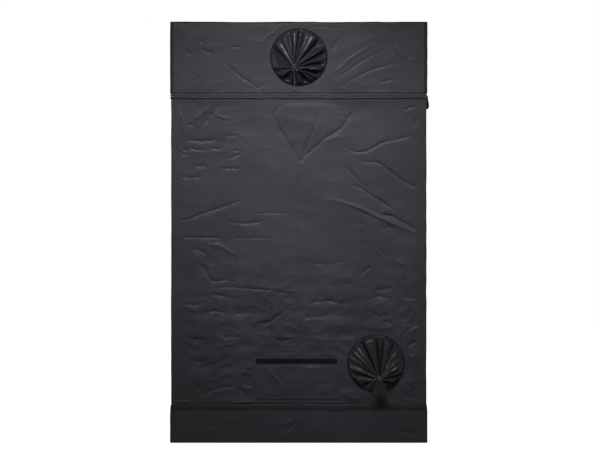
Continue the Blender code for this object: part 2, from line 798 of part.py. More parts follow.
def build_door(frame):
    """The door with its window, cover flap, zip tape, sliders and pulls, on the hinge line."""
    hinge = add_frame("door_hinge", (-DOOR_HALF_WIDTH, -HINGE_OUT, 0), parent=frame)
    leaf = add_frame("door_leaf", (DOOR_HALF_WIDTH, HINGE_OUT, 0), parent=hinge)
    panel = door_outline(CLOTH_SETBACK, SEAM_GAP)
    window = rounded_rectangle(
        (-WINDOW_HALF_WIDTH, WINDOW_BOTTOM),
        (WINDOW_HALF_WIDTH, WINDOW_TOP),
        (WINDOW_CORNER,) * 4,
        FLAP_ARC_STEPS,
    )
    wall_plate("door_panel", [panel, window], -CLOTH, CLOTH, WALL_CLOTH, leaf)
    swept_band("door_zip_door_side", door_path(0), zip_profile(-1), False, wall_space, ZIP_TAPE, leaf)
    pane = rounded_rectangle(
        (-WINDOW_HALF_WIDTH - PANE_LAP, WINDOW_BOTTOM - PANE_LAP),
        (WINDOW_HALF_WIDTH + PANE_LAP, WINDOW_TOP + PANE_LAP),
    )
    pane_inner = -CLOTH - SEAM_GAP - PANE_THICKNESS
    wall_plate("window_pane", [pane], pane_inner, PANE_THICKNESS, WINDOW_SHEET, leaf)
    build_window_flap(leaf)
    top_level = DOOR_SLIDER_LEVEL + DOOR_SLIDER_GAP
    for name, level in (("upper", top_level), ("lower", DOOR_SLIDER_LEVEL - DOOR_SLIDER_GAP)):
        slider = add_frame(f"door_slider_{name}_frame", (DOOR_HALF_WIDTH, 0, level), parent=leaf)
        zip_slider(f"door_slider_{name}", slider)
        hanging_pull(f"door_pull_{name}", slider)


def build_window_flap(leaf):
    """The blackout flap over the window, hinged along its lower edge."""
    low = WINDOW_BOTTOM - WINDOW_FLAP_LAP
    half = WINDOW_HALF_WIDTH + WINDOW_FLAP_LAP
    height = WINDOW_TOP + WINDOW_FLAP_LAP - low
    hinge = add_frame("window_flap_hinge", (0, -SEAM_GAP - CLOTH, low), parent=leaf)
    corners = (0, 0, WINDOW_CORNER, WINDOW_CORNER)
    outline = rounded_rectangle((-half, 0), (half, height), corners, FLAP_ARC_STEPS)
    wall_plate("window_flap", [outline], -CLOTH, CLOTH, WALL_CLOTH, hinge)


def zip_slider(name, frame):
    """A slider over the teeth: a plate with a bail that holds the pull; it travels along local Z."""
    plate_inner = TOOTH_FACE + SEAM_GAP
    outline = rounded_rectangle(
        (-SLIDER_HALF_WIDTH, -SLIDER_HALF_LENGTH),
        (SLIDER_HALF_WIDTH, SLIDER_HALF_LENGTH),
        (SLIDER_CORNER,) * 4,
        FLAP_ARC_STEPS,
    )
    body = meshed(wall_plate(name, [outline], plate_inner, SLIDER_PLATE, ZIP_METAL, frame))
    sunk = plate_inner + SLIDER_PLATE / 2
    face = plate_inner + SLIDER_PLATE
    crown = face + BAIL_RISE
    corner = BAIL_BAR / 2
    legs = rounded_rectangle(
        (sunk, -BAIL_HALF_LENGTH), (crown, BAIL_HALF_LENGTH), (0, corner, corner, 0), FLAP_ARC_STEPS
    )
    eye = rounded_rectangle(
        (face - SLIDER_PLATE / 4, -BAIL_HALF_LENGTH + BAIL_BAR),
        (crown - BAIL_BAR, BAIL_HALF_LENGTH - BAIL_BAR),
    )
    bail = plate(f"{name}_bail", [legs, eye], BAIL_WIDTH, ZIP_METAL, frame, (0, 0, 0), EDGEWISE_TURN)
    apply_boolean(body, as_cutter(meshed(bail)), "UNION")
    return body


def hanging_pull(name, slider_frame):
    """A flat pull whose cross bar passes under the bail; it swings up about local X."""
    face = TOOTH_FACE + SEAM_GAP + SLIDER_PLATE
    out = face + (BAIL_RISE - BAIL_BAR) / 2
    pivot = add_frame(f"{name}_pivot", (0, -out, 0), parent=slider_frame)
    half_bar = PULL_BAR / 2
    tab = rounded_rectangle(
        (-PULL_HALF_WIDTH, -PULL_LENGTH),
        (PULL_HALF_WIDTH, half_bar),
        (PULL_CORNER, PULL_CORNER, half_bar, half_bar),
        FLAP_ARC_STEPS,
    )
    eye_low = (-PULL_EYE_HALF_WIDTH, -half_bar - PULL_EYE_LENGTH)
    eye = rounded_rectangle(eye_low, (PULL_EYE_HALF_WIDTH, -half_bar))
    grip = rounded_rectangle(
        (-PULL_EYE_HALF_WIDTH, -PULL_LENGTH + PULL_CORNER),
        (PULL_EYE_HALF_WIDTH, -PULL_LENGTH + PULL_CORNER + PULL_EYE_LENGTH),
        (half_bar,) * 4,
        FLAP_ARC_STEPS,
    )
    wall_plate(name, [tab, eye, grip], -half_bar, PULL_BAR, PULL_RUBBER, pivot)


def build_extension_zip(frame):
    """Two tapes all round the tent, and the slider with its tab on the right wall."""
    path = [(-HEM_X, -HEM_Y), (HEM_X, -HEM_Y), (HEM_X, HEM_Y), (-HEM_X, HEM_Y)]
    for name, sign in (("extension_zip_lower", -1), ("extension_zip_upper", 1)):
        profile = [(out, ZIP_LEVEL + height) for height, out in zip_profile(sign)]
        swept_band(name, path, profile, True, lambda point, up: (point.x, point.y, up), ZIP_TAPE)
    place = (-WALL_Y + EXTENSION_SLIDER_INSET, -HEM_FLARE, ZIP_LEVEL)
    slider = add_frame("extension_slider_frame", place, parent=frame)
    rail = add_frame("extension_slider_rail", (0, 0, 0), (0, QUARTER_TURN, 0), slider)
    zip_slider("extension_slider", rail)
    ring_tab("extension_pull", slider)


def ring_tab(name, slider_frame):
    """A moulded tab that hangs from the bail by a ring, and swings out about local X."""
    out = TOOTH_FACE + SEAM_GAP + SLIDER_PLATE + BAIL_RISE - BAIL_BAR / 2
    pivot = add_frame(f"{name}_pivot", (0, -out, 0), parent=slider_frame)
    turns = [RING_ARC_START + RING_ARC * step / RING_ARC_STEPS for step in range(RING_ARC_STEPS + 1)]
    ring = [(RING_RADIUS * math.cos(turn), RING_RADIUS * math.sin(turn)) for turn in turns]
    shoulder_share, widest_share = TAB_OUTER_SHARES
    end = PULL_CORNER
    tab = [
        (-RING_RADIUS, -RING_RADIUS),
        (-TAB_INNER, -TAB_LENGTH * TAB_INNER_SHARE),
        (-TAB_INNER, -TAB_LENGTH + end),
        (-TAB_INNER + end, -TAB_LENGTH),
        (TAB_OUTER - end, -TAB_LENGTH),
        (TAB_OUTER, -TAB_LENGTH + end),
        (TAB_OUTER, -TAB_LENGTH * widest_share),
        (RING_RADIUS, -TAB_LENGTH * shoulder_share),
    ]
    hole = [
        (RING_BORE * math.cos(angle), RING_BORE * math.sin(angle))
        for angle in (math.tau * step / POLE_SIDES for step in range(POLE_SIDES))
    ]
    plate(name, [ring + tab, hole], TAB_THICKNESS, PULL_RUBBER, pivot, (0, 0, 0), EDGEWISE_TURN)


def build_top_section(frame):
    """The cap of the tent: roof and the band of wall above the extension zip."""
    outer_x = TENT_WIDTH / 2
    outer_y = TENT_DEPTH / 2
    cap = open_box(
        "top_section",
        (
            (outer_x - ROOF_EDGE, outer_y - ROOF_EDGE, TENT_HEIGHT),
            (outer_x, outer_y, TENT_HEIGHT - ROOF_EDGE),
            (outer_x, outer_y, TOP_HEM),
        ),
        CLOTH,
        WALL_CLOTH,
    )
    cut_port(cap, frame, UPPER_PORT)


def build_vent(side, frame, offset):
    """Screen inside the wall, cover flap outside, and the strip that closes the flap."""
    low = FLAP_BOTTOM + FLAP_MARGIN - SCREEN_LAP
    high = FLAP_TOP - STRIP_HEIGHT + SCREEN_LAP
    half = VENT_HALF_WIDTH - FLAP_MARGIN + SCREEN_LAP
    inner = -CLOTH - SEAM_GAP - SCREEN_THICKNESS
    screen = rounded_rectangle((-half, low), (half, high))
    wall_plate(f"{side}_vent_mesh", [screen], inner, SCREEN_THICKNESS, MESH_CLOTH, frame, (offset, 0, 0))
    height = FLAP_TOP - FLAP_BOTTOM
    hinge_out = SEAM_GAP + CLOTH + SEAM_GAP + STRIP_THICKNESS
    hinge = add_frame(f"{side}_vent_hinge", (offset, -hinge_out, FLAP_BOTTOM), parent=frame)
    flap = rounded_rectangle((-VENT_HALF_WIDTH, 0), (VENT_HALF_WIDTH, height))
    wall_plate(f"{side}_vent_flap", [flap], SEAM_GAP - hinge_out, CLOTH, WALL_CLOTH, hinge)
    strip = rounded_rectangle(
        (-VENT_HALF_WIDTH, height - STRIP_HEIGHT),
        (VENT_HALF_WIDTH, height),
        (STRIP_THICKNESS,) * 4,
        FLAP_ARC_STEPS,
    )
    wall_plate(f"{side}_vent_strip", [strip], -STRIP_THICKNESS, STRIP_THICKNESS, HOOK_AND_LOOP, hinge)


def ring_points(centre, half_width, half_depth, tilt, pleat):
    """A pleated ring: facing out of the wall at tilt 0 and down along the wall at a right angle."""
    count = PLEATS * POINTS_PER_PLEAT
    points = []
    for i in range(count):
        angle = math.tau * i / count
        swell = 1 + pleat * math.cos(PLEATS * angle)
        across = half_width * swell * math.cos(angle)
        rise = half_depth * swell * math.sin(angle)
        up = centre[2] + rise * math.cos(tilt)
        out = centre[1] + rise * math.sin(tilt)
        points.append((centre[0] + across, -out, up))
    return points


def cone_ring(share, gather, inner):
    """A ring of the drawn-in sleeve, from its collar at share 0 to its neck at share 1."""
    start = PORT_HOLE - PORT_LIP if inner else PORT_RADIUS - COLLAR_BAND
    radius = start + (NECK_RADIUS - start) * share
    lean = share**CONE_LEAN_POWER
    out = COLLAR_CROWN + (NECK_OUT - COLLAR_CROWN) * share**CONE_BULGE_POWER
    depth = PLEAT_DEPTH * math.sin(math.pi * share) ** CONE_BULGE_POWER * (1 - share / 2)
    if inner:
        out -= SLEEVE_CLOTH + depth
        depth = 0.0
    count = PLEATS * POINTS_PER_PLEAT
    points = []
    for i in range(count):
        angle = math.tau * i / count
        across = gather[0] * lean + radius * math.cos(angle)
        up = gather[1] * lean + radius * math.sin(angle)
        points.append((across, -out - depth * math.cos(PLEATS * angle), up))
    return points


def build_sleeve(name, frame, port, gather, tail, tail_half_width):
    """A duct sleeve drawn shut: collar, pleated cone, neck and the loose end that hangs from it."""
    mouth = PORT_HOLE - PORT_LIP - SLEEVE_CLOTH
    rings = [
        ring_points((0, SEAM_GAP, 0), mouth, mouth, 0, 0),
        ring_points((0, SEAM_GAP, 0), PORT_RADIUS, PORT_RADIUS, 0, 0),
        ring_points((0, COLLAR_RISE, 0), PORT_RADIUS, PORT_RADIUS, 0, 0),
    ]
    for step in range(CONE_RINGS):
        rings.append(cone_ring(step / CONE_RINGS, gather, False))
    bend = NECK_OUT + NECK_BEND
    neck = (gather[0], NECK_OUT, gather[1])
    rings.append(ring_points(neck, NECK_RADIUS, NECK_RADIUS, 0, NECK_SWELL_SHARE))
    turning = (gather[0], bend, gather[1] - NECK_BEND)
    rings.append(ring_points(turning, NECK_RADIUS, NECK_RADIUS, QUARTER_TURN / 2, 0))
    fall = 2 * NECK_BEND
    for share in TAIL_RING_SHARES:
        half_width = NECK_RADIUS + (tail_half_width - NECK_RADIUS) * share
        drop = fall + (tail - fall) * share
        centre = (gather[0], bend, gather[1] - drop)
        swell = NECK_SWELL_SHARE + TAIL_SWELL_SHARE * share
        rings.append(ring_points(centre, half_width, TAIL_THICKNESS, QUARTER_TURN, swell))
    shape = bmesh.new()
    made = loft(shape, rings)
    shape.faces.new(made[-1])
    inner_rings = [cone_ring(share, gather, True) for share in LINING_RING_SHARES]
    inside = loft(shape, inner_rings)
    count = len(made[0])
    for i in range(count):
        j = (i + 1) % count
        shape.faces.new((made[0][i], made[0][j], inside[0][j], inside[0][i]))
    shape.faces.new(inside[-1])
    bmesh.ops.triangulate(shape, faces=[face for face in shape.faces if len(face.verts) > 4])
    mesh = smooth(bmesh_to_mesh(name, shape), SHARP_PLEAT)
    return add_object(name, mesh, SLEEVE_CLOTH_FINISH, frame, (port[0], 0, port[1]))


def smooth_route(points, step):
    """Points every step or so along a smooth curve through the given points."""
    route = [Vector(point) for point in points]
    ends = [route[0] * 2 - route[1], *route, route[-1] * 2 - route[-2]]
    smoothed = [route[0]]
    for before, start, end, after in zip(ends, ends[1:], ends[2:], ends[3:]):
        pieces = max(1, round((end - start).length / step))
        for piece in range(1, pieces + 1):
            t = piece / pieces
            smoothed.append(
                (
                    start * 2
                    + (end - before) * t
                    + (before * 2 - start * 5 + end * 4 - after) * t**2
                    + (start * 3 - before - end * 3 + after) * t**3
                )
                / 2
            )
    return smoothed


def build_drawstring(name, frame, start, route):
    """A cord that hangs from the gathered neck, as a round tube along its route."""
    curve = bpy.data.curves.new(name, "CURVE")
    curve.dimensions = "3D"
    curve.bevel_depth = STRING_RADIUS
    curve.bevel_resolution = 2
    curve.use_fill_caps = True
    points = smooth_route(route, STRING_STEP)
    spline = curve.splines.new("POLY")
    spline.points.add(len(points) - 1)
    for point, place in zip(spline.points, points):
        point.co = (*place, 1.0)
    return add_object(name, curve, CORD_FINISH, frame, start)


def build_ports(rear, top_rear):
    """The upper port in the top section and the lower port in the rear wall."""
    upper = (UPPER_PORT, UPPER_GATHER, UPPER_TAIL, UPPER_TAIL_HALF_WIDTH)
    lower = (LOWER_PORT, LOWER_GATHER, LOWER_TAIL, LOWER_TAIL_HALF_WIDTH)
    build_sleeve("upper_duct_sleeve", top_rear, *upper)
    build_sleeve("lower_duct_sleeve", rear, *lower)
    out = NECK_OUT + NECK_BEND
    upper_start = (
        UPPER_PORT[0] + UPPER_GATHER[0],
        -out,
        UPPER_PORT[1] + UPPER_GATHER[1] - UPPER_TAIL - SEAM_GAP,
    )
    build_drawstring("upper_drawstring", top_rear, upper_start, UPPER_STRING)
    lower_start = (
        LOWER_PORT[0] + LOWER_GATHER[0] - NECK_RADIUS - SEAM_GAP,
        -out,
        LOWER_PORT[1] + LOWER_GATHER[1] - NECK_BEND,
    )
    build_drawstring("lower_drawstring", rear, lower_start, LOWER_STRING)


def build_skin():
    """Walls, floor, top section and everything sewn to them."""
    rear = add_frame("rear_frame", (0, -WALL_Y, 0))
    front = add_frame("front_frame", (0, WALL_Y, 0), (0, 0, HALF_TURN))
    right = add_frame("right_frame", (WALL_X, 0, 0), (0, 0, QUARTER_TURN))
    left = add_frame("left_frame", (-WALL_X, 0, 0), (0, 0, -QUARTER_TURN))
    top_rear = add_frame("top_rear_frame", (0, -TENT_DEPTH / 2, 0))
    build_floor()
    rear_wall = cloth_wall("rear_wall", rear, WALL_X, REAR_CELLS, REAR_FOLD_SHARES)
    cut_vent(rear_wall, rear, REAR_VENT_OFFSET)
    cut_port(rear_wall, rear, LOWER_PORT)
    side_span = WALL_Y - CLOTH - SEAM_GAP
    for name, frame in (("left", left), ("right", right)):
        wall = cloth_wall(f"{name}_wall", frame, side_span, SIDE_CELLS, SIDE_FOLD_SHARES)
        cut_vent(wall, frame, 0)
        build_vent(name, frame, 0)
    build_vent("rear", rear, REAR_VENT_OFFSET)
    build_front_wall(front)
    build_door(front)
    build_top_section(top_rear)
    build_extension_zip(right)
    build_ports(rear, top_rear)


build_corners()
build_rails()
build_uprights()
build_hanging_bars()
build_skin()
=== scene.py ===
"""Indoor grow tent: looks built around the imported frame, laid out as a Blender add-on.

Lengths are in metres and +Z is up. The wall with the duct ports faces -Y and the door faces +Y.
On each side of the tent, across runs along the side, up is the height and out is the distance
of the cloth from the middle of the tent.
"""

import math

import bpy
import numpy as np
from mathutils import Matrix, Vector


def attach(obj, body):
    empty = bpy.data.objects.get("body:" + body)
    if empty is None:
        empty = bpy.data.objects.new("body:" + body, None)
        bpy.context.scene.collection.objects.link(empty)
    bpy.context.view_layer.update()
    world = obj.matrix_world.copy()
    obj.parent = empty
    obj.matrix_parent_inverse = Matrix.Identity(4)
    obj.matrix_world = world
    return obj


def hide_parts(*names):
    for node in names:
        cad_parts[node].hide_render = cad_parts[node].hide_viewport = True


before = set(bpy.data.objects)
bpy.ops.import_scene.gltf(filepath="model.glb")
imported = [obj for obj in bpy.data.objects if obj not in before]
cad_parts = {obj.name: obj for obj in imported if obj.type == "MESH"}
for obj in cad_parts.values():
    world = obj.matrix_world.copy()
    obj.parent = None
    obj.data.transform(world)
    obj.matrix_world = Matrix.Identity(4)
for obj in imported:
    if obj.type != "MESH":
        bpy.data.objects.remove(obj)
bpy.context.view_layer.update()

bl_info = {
    "name": "Grow tent looks",
    "version": (1, 0, 0),
    "blender": (4, 5, 0),
    "location": "3D View > Sidebar > Grow tent",
    "description": "Dresses the frame of an indoor grow tent with cloth, zips, duct ports and light",
    "category": "Object",
}

MILLIMETRE = 0.001

# Skin of the tent
TENT_FACE = 0.610
TENT_HEIGHT = 2.000
WALL_FACE = 0.6055
HEM_FACE = 0.6077
CLOTH = 0.0012
SEAM_GAP = 0.0003
WALL_BOTTOM = 0.158
WALL_TOP = 1.6475
FLARE_LENGTH = 0.040
SKIRT_TOP = 0.178
SKIRT_LEAN = 0.030
SKIRT_LIP = 0.6078
SKIRT_SETBACK = 0.0004
SKIRT_FOOT = 0.0006
ZIP_LEVEL = 1.6505
TOP_HEM = 1.6638
CAP_SETBACK = 0.0003
CAP_TOP_GAP = 0.0008
ROOF_SAG = 0.0022
SIDES = ("rear", "right", "front", "left")

# Spill tray
TRAY_FACE = 0.5775
TRAY_BOTTOM = 0.0023
TRAY_DEPTH = 0.075
TRAY_CLOTH = 0.0010
TRAY_SETBACK = 0.0006
TRAY_RIM_RADIUS = 0.0022

# How many times coarser than the side walls' the mesh of the floor and of the tray is
FLOOR_GRID_SCALE = 3
TRAY_GRID_SCALE = 2

# Where the photograph shows things, in its pixels, and what a pixel measures on the wall
PHOTO_MIDDLE = 298.75
PHOTO_GROUND = 442.5
PHOTO_ACROSS = 0.004756
PHOTO_UP = 0.004762
PHOTO_WIDTH = 600
PHOTO_HEIGHT = 465

# Duct ports: middle, gather, and the fall and half width of the tail that hangs from it
PORT_RADIUS = 0.135
PORT_HOLE = 0.122
COLLAR_CROWN = 0.0055
COLLAR_BAND = 0.006
NECK_RADIUS = 0.011
NECK_OUT = 0.045
NECK_BEND = 0.006
TAIL_THICKNESS = 0.0065
UPPER_PORT = (0.000, 1.834)
UPPER_GATHER = (-0.020, -0.051)
UPPER_TAIL = (0.022, 0.013)
LOWER_PORT = (0.367, 0.379)
LOWER_GATHER = (0.015, -0.069)
LOWER_TAIL = (0.082, 0.038)
PIPING_RADIUS = 0.0018
PIPING_RISE = 0.0022
PIPING_STEPS = 96

# Sleeves: their mesh, and how the cloth runs from the rim to the neck
SLEEVE_CLOTH = 0.0008
SLEEVE_CLEARANCE = 0.0035
PLEAT_COLUMNS = 432
PLEAT_DEPTH = 1.75
PLEAT_BEND = 4.0
PLEAT_BLUR = ((-1.1, 0.25), (0.0, 0.5), (1.1, 0.25))
PLEAT_START_SHARE = 0.10
PLEAT_END_POWER = 0.55
WRINKLE_HEIGHT = 0.0004
FINE_WRINKLE_HEIGHT = 0.0002
WRINKLE_START_SHARE = 0.3
WRINKLE_END_POWER = 0.4
CONE_ROWS = 40
CONE_LEAN_POWER = 1.2
CONE_OUT_POWER = 0.62
CRUMPLE_POWER = 0.6

# Necks and tails of the sleeves: how they are squashed, pinched and folded
NECK_SQUASH_SHARE = 0.7
NECK_PINCH_SHARE = 0.09
FINE_NECK_PINCH_SHARE = 0.05
TAIL_ROWS = 14
TAIL_WIDENING_POWER = 0.85
TAIL_THINNING_SHARE = 0.25
TAIL_FOLD = 0.0022
FINE_TAIL_FOLD = 0.0012
TAIL_RAG = 0.0018

# Drawstrings
STRING_DIAMETER = 0.003
STRING_STEP = 0.0070
UPPER_STRING = ((0.0, 0.0, 0.0), (0.0, 0.0, -0.028), (0.001, 0.001, -0.056), (-0.001, 0.002, -0.084))
LOWER_STRING = (
    (0.0, 0.0, 0.0),
    (-0.008, 0.0, -0.0004),
    (-0.022, 0.007, -0.009),
    (-0.038, 0.017, -0.026),
    (-0.046, 0.027, -0.049),
    (-0.040, 0.035, -0.072),
    (-0.027, 0.040, -0.089),
)
KNOT_TURNS = 1.5
KNOT_STEPS = 28
KNOT_RADII = (0.0022, 0.0018)
KNOT_HALF_HEIGHT = 0.0022
KNOT_CORD_SHARE = 0.4

# Low vents
VENT_HALF_WIDTH = 0.193
REAR_VENT_OFFSET = -0.010
FLAP_BOTTOM = 0.205
FLAP_TOP = 0.400
FLAP_MARGIN = 0.018
FLAP_CLOTH = 0.0007
FLAP_BULGE = 0.0024
STRIP_HEIGHT = 0.021
STRIP_RISE = 0.0037
STRIP_TAPE = 0.0014
SCREEN_LAP = 0.006
SCREEN_PITCH = 0.0055
SCREEN_WIRE = 0.0011
SCREEN_SETBACK = 0.0016

# Door and window, on the front side
DOOR_HALF_WIDTH = 0.460
DOOR_BOTTOM = 0.225
DOOR_TOP = 1.575
DOOR_CORNER = 0.070
DOOR_TAPE_START = 0.004
WINDOW_HALF_WIDTH = 0.200
WINDOW_BOTTOM = 1.000
WINDOW_TOP = 1.460
WINDOW_FLAP_LAP = 0.025
WINDOW_FLAP_BULGE = 0.0012
WINDOW_SURROUND_HALF_HEIGHT = 0.26
WINDOW_BINDING_RISE = 0.0022
WINDOW_BINDING_RADIUS = 0.0016
PANE_LAP = 0.012
PANE_SETBACK = 0.0006
PANE_SHEET = 0.0006
CLOTH_SETBACK = 0.003

# Zips, and the rolled hems beside the long one, whose dark finish is painted shade
TAPE_WIDTH = 0.0130
TAPE_THICKNESS = 0.0009
TOOTH_WIDTH = 0.0030
TOOTH_LENGTH = 0.0019
TOOTH_LENGTH_SHARE = 0.75
TOOTH_PITCH = 0.0034
TOOTH_RISE = 0.0028
TENT_HEM_RISE = 0.0010
TENT_HEM_PROUD = 0.0002
TENT_HEM_RADIUS = 0.0036
CAP_HEM_RISE = 0.0004
CAP_HEM_INSET = 0.0010
CAP_HEM_RADIUS = 0.0026

# Stitches, and how far their rows are from the edges that they follow
STITCH_PITCH = 0.0050
STITCH_LENGTH = 0.0036
STITCH_WIDTH = 0.0008
EDGE_ALLOWANCE = 0.0085
STITCH_START = 0.004
CAP_STITCH_END = 0.006
CAP_STITCH_PROUD = 0.0004
HEM_STITCH_RISE = 0.005
ROOF_STITCH_DROP = 0.009
SKIRT_STITCH_DROP = 0.007
SKIRT_STITCH_PROUD = 0.0012
ZIP_STITCH_DROP = 0.006
ZIP_STITCH_INSET = 0.0004

# Tapes at the corners of the top section, and the dark band of painted shade along the skirt's seam
CORNER_TAPE_INSET = 0.0032
CORNER_TAPE_WIDTH = 0.0145
CORNER_TAPE = 0.0009
CORNER_TAPE_PROUD = 0.0003
SEAM_SHADE_WIDTH = 0.024
SEAM_SHADE_RISE = 0.0010
SEAM_SHADE_STEP = 0.02

# Bound seams: how far they are set in, and how far they wander and in what steps
BINDING_INSET = 0.0012
WALL_BINDING_INSET = 0.0010
WALL_BINDING_LAP = 0.004
SEAM_WANDER = (0.0004, 0.03)
WALL_CORNER_WANDER = (0.0010, 0.06)
CAP_CORNER_WANDER = (0.0010, 0.05)
CAP_EDGE_WANDER = (0.0013, 0.06)
THIN_TUBE_SIDES = 8

# Moulded grip on the tab of the long zip: places down it, then how far it reaches towards the wall and away
PULL_PIVOT = (0.6168, -0.5555, 1.6505)
GRIP_PROFILE = (
    (-0.0040, 0.0026, 0.0012),
    (-0.0090, 0.0044, 0.0022),
    (-0.0150, 0.0052, 0.0034),
    (-0.0180, 0.0076, 0.0042),
    (-0.0300, 0.0086, 0.0060),
    (-0.0420, 0.0088, 0.0074),
    (-0.0490, 0.0086, 0.0068),
    (-0.0560, 0.0066, 0.0040),
    (-0.0595, 0.0035, 0.0015),
)
GRIP_HALF_WIDTH = 0.0060
GRIP_FULL_REACH = 0.0075
GRIP_SIDES = 24
GRIP_STEP = 0.0018
GRIP_RIB_SHARE = 0.05
GRIP_ROUND_POWER = 0.6

# How far cloth lies flat beside what holds it, and over what length it comes loose
POST_FLAT = 0.014
POST_FADE = 0.045
RIM_FLAT = 0.004
RIM_FADE = 0.030
VENT_FLAT = 0.002
VENT_FADE = 0.022
ZIP_FLAT = 0.018
SIDE_ZIP_FLAT = 0.065
EDGE_FADE = 0.03
WALL_FADE = 0.035
CAP_FOOT_FADE = 0.02
ROOF_FLAT = 0.03
ROOF_FADE = 0.20
FLAP_FADE = 0.05
WINDOW_FLAP_FADE = 0.04

# Unevenness of the cloth, in layers: pattern, height, length across, length up and change of seed
LOOSE_LAYERS = (
    ("even", 0.0016, 0.50, 0.36, 0),
    ("pinched", 0.0007, 0.24, 0.15, 1),
    ("pinched", 0.00018, 0.10, 0.060, 5),
    ("even", 0.00005, 0.045, 0.030, 2),
)
SLACK_LAYERS = (
    ("even", 0.0026, 0.19, 0.12, 3),
    ("pinched", 0.0016, 0.15, 0.085, 6),
    ("pinched", 0.00045, 0.06, 0.040, 8),
)
PULLED_LAYERS = (("pinched", 0.00025, 0.12, 0.040, 7),)
WALL_HEAD_LAYERS = (("even", 0.0003, 0.028, 0.4, 4),)
CAP_FOOT_LAYERS = (("even", 0.0002, 0.03, 0.4, 5),)
ROOF_LAYERS = (("even", 0.0006, 0.5, 0.4, 0), ("even", 0.0002, 0.09, 0.07, 1))
SKIRT_LAYERS = (("pinched", 0.0006, 0.10, 0.14, 4),)
SEAM_SHADE_LAYERS = (("even", 0.0003, 0.09, 0.09, 0),)
TRAY_LAYERS = (("even", 0.0004, 0.2, 0.1, 0),)
PANE_LAYERS = (("even", 0.0003, 0.2, 0.3, 0),)
FLAP_LAYERS = (("even", 0.0012, 0.12, 0.07, 0),)
STRIP_LAYERS = (("even", 0.0002, 0.05, 0.03, 3),)
SLEEVE_LAYERS = (("even", 0.0016, 0.070, 0.070, 2),)
PINCH_DEPTH = 1.6
CAP_LOOSE_SHARE = 0.8
SKIRT_LOOSE_SHARE = 0.7
WINDOW_FLAP_LOOSE_SHARE = 0.4

# Where the walls are slackest, and where the zip pulls them
SLACK_LEVEL = 0.48
SLACK_REACH = 0.33
PULLED_PLACE = (-0.50, 1.40)
PULLED_REACH = (0.10, 0.13)

# Folds that run away from a port's rim: how many, their share of the height and how the seed turns them
PORT_RAYS = ((11, 1.0, 1.0), (17, 0.7, 2.3))
RAY_HEIGHT = 0.0007
RAY_REACH = 0.055

# How a crease is made from its line
CREASE_STEP = 0.020
CREASE_SHORTEST = 0.0003
CREASE_TAPER = 0.6
CREASE_CHANGE_SHARE = 0.25
CREASE_PEAK_SHARE = 0.72
CREASE_PEAK_POWER = 1.2
CREASE_FOOT = 2.8
CREASE_REACH = 8.0
CREASE_WANDER = 0.0011
CREASE_WANDER_LENGTH = 0.035

# What the grain and the threads do to a finish, and the range of a noise that counts
THREAD_SHARE = 0.35
WRINKLE_SHARE = 3.0
RUBBED_ROUGHNESS = 0.25
BUMP_STRENGTH = 0.6
LOOKS = {
    "metallic": "Metallic",
    "specular": "Specular IOR Level",
    "coat": "Coat Weight",
    "coat_roughness": "Coat Roughness",
    "sheen": "Sheen Weight",
}
NOISE_MIDDLE = (0.3, 0.7)

# Camera and stage: lamps are a name, a setting, a place, what they point at, their sides and their spread
SENSOR_WIDTH = 36.0
LAMPS = (
    ("key", "key_power", (-0.15, -2.60, 3.00), (0, -0.6, 1.25), (1.4, 1.0), 50),
    ("fill_right", "side_power", (2.7, 0.4, 3.3), (0.6, 0.1, 0.9), (1.2, 1.2), 180),
    ("fill_left", "side_power", (-2.7, 0.4, 3.3), (-0.6, 0.1, 0.9), (1.2, 1.2), 180),
    ("back", "back_power", (0.7, 2.8, 3.3), (0, 0.6, 0.9), (1.2, 1.2), 180),
)
EVEN_LIGHT = (0.9, 0.92, 1.0, 1.0)
WHITE = (1.0, 1.0, 1.0, 1.0)
GROUND_TONE = (0.16, 0.16, 0.16, 1.0)
GROUND_HALF_WIDTH = 30.0
GROUND_DROP = 0.0005

# Pleats of the duct sleeves: places round the rim in degrees, and the cloth's height there in millimetres
UPPER_PLEATS = (
    (-168, -14), (-161, -12), (-154, 5), (-145, -3), (-137, 1), (-130, 7), (-124, -4), (-118, -11),
    (-110, -4), (-104, 5), (-98, -5), (-91, 2), (-85, 6), (-80, -3), (-74, -11), (-68, -4),
    (-63, 7), (-59, 4), (-56, -2), (-52, 7), (-46, -3), (-41, -9), (-36, 0), (-31, 7), (-25, 5),
    (-20, -5), (-15, -10), (-9, -2), (-4, 3), (0, -3), (4, -9), (10, -8), (14, 4), (17, 10),
    (20, 6), (24, -4), (30, -9), (37, -10), (42, -3), (46, 6), (52, 10), (60, 9), (62, 5), (66, 8),
    (72, 6), (78, -1), (82, -7), (86, -9), (90, -4), (94, 8), (98, 11), (103, 10), (106, 4),
    (112, -2), (119, 1), (125, 6), (130, 4), (138, 1), (146, 3), (151, 9), (156, 4), (161, -4),
    (170, -8), (180, -11),
)
LOWER_PLEATS = (
    (-176, -5), (-170, 2), (-163, -4), (-156, -9), (-148, 1), (-138, 7), (-128, 3), (-118, -7),
    (-105, -3), (-90, -5), (-75, -3), (-62, -7), (-54, 2), (-45, 7), (-36, 2), (-30, -5), (-25, 1),
    (-20, 5), (-14, -6), (-5, -3), (5, -7), (15, -6), (22, -9), (30, -8), (36, -10), (42, -7),
    (47, -5), (52, 5), (58, 10), (66, 10), (71, 4), (76, -8), (82, -13), (89, -6), (93, 4), (98, 9),
    (108, 11), (117, 10), (121, 4), (125, -9), (130, -2), (136, -5), (142, -3), (148, -7),
    (154, -4), (161, -8), (166, 0), (172, -5), (178, -8),
)

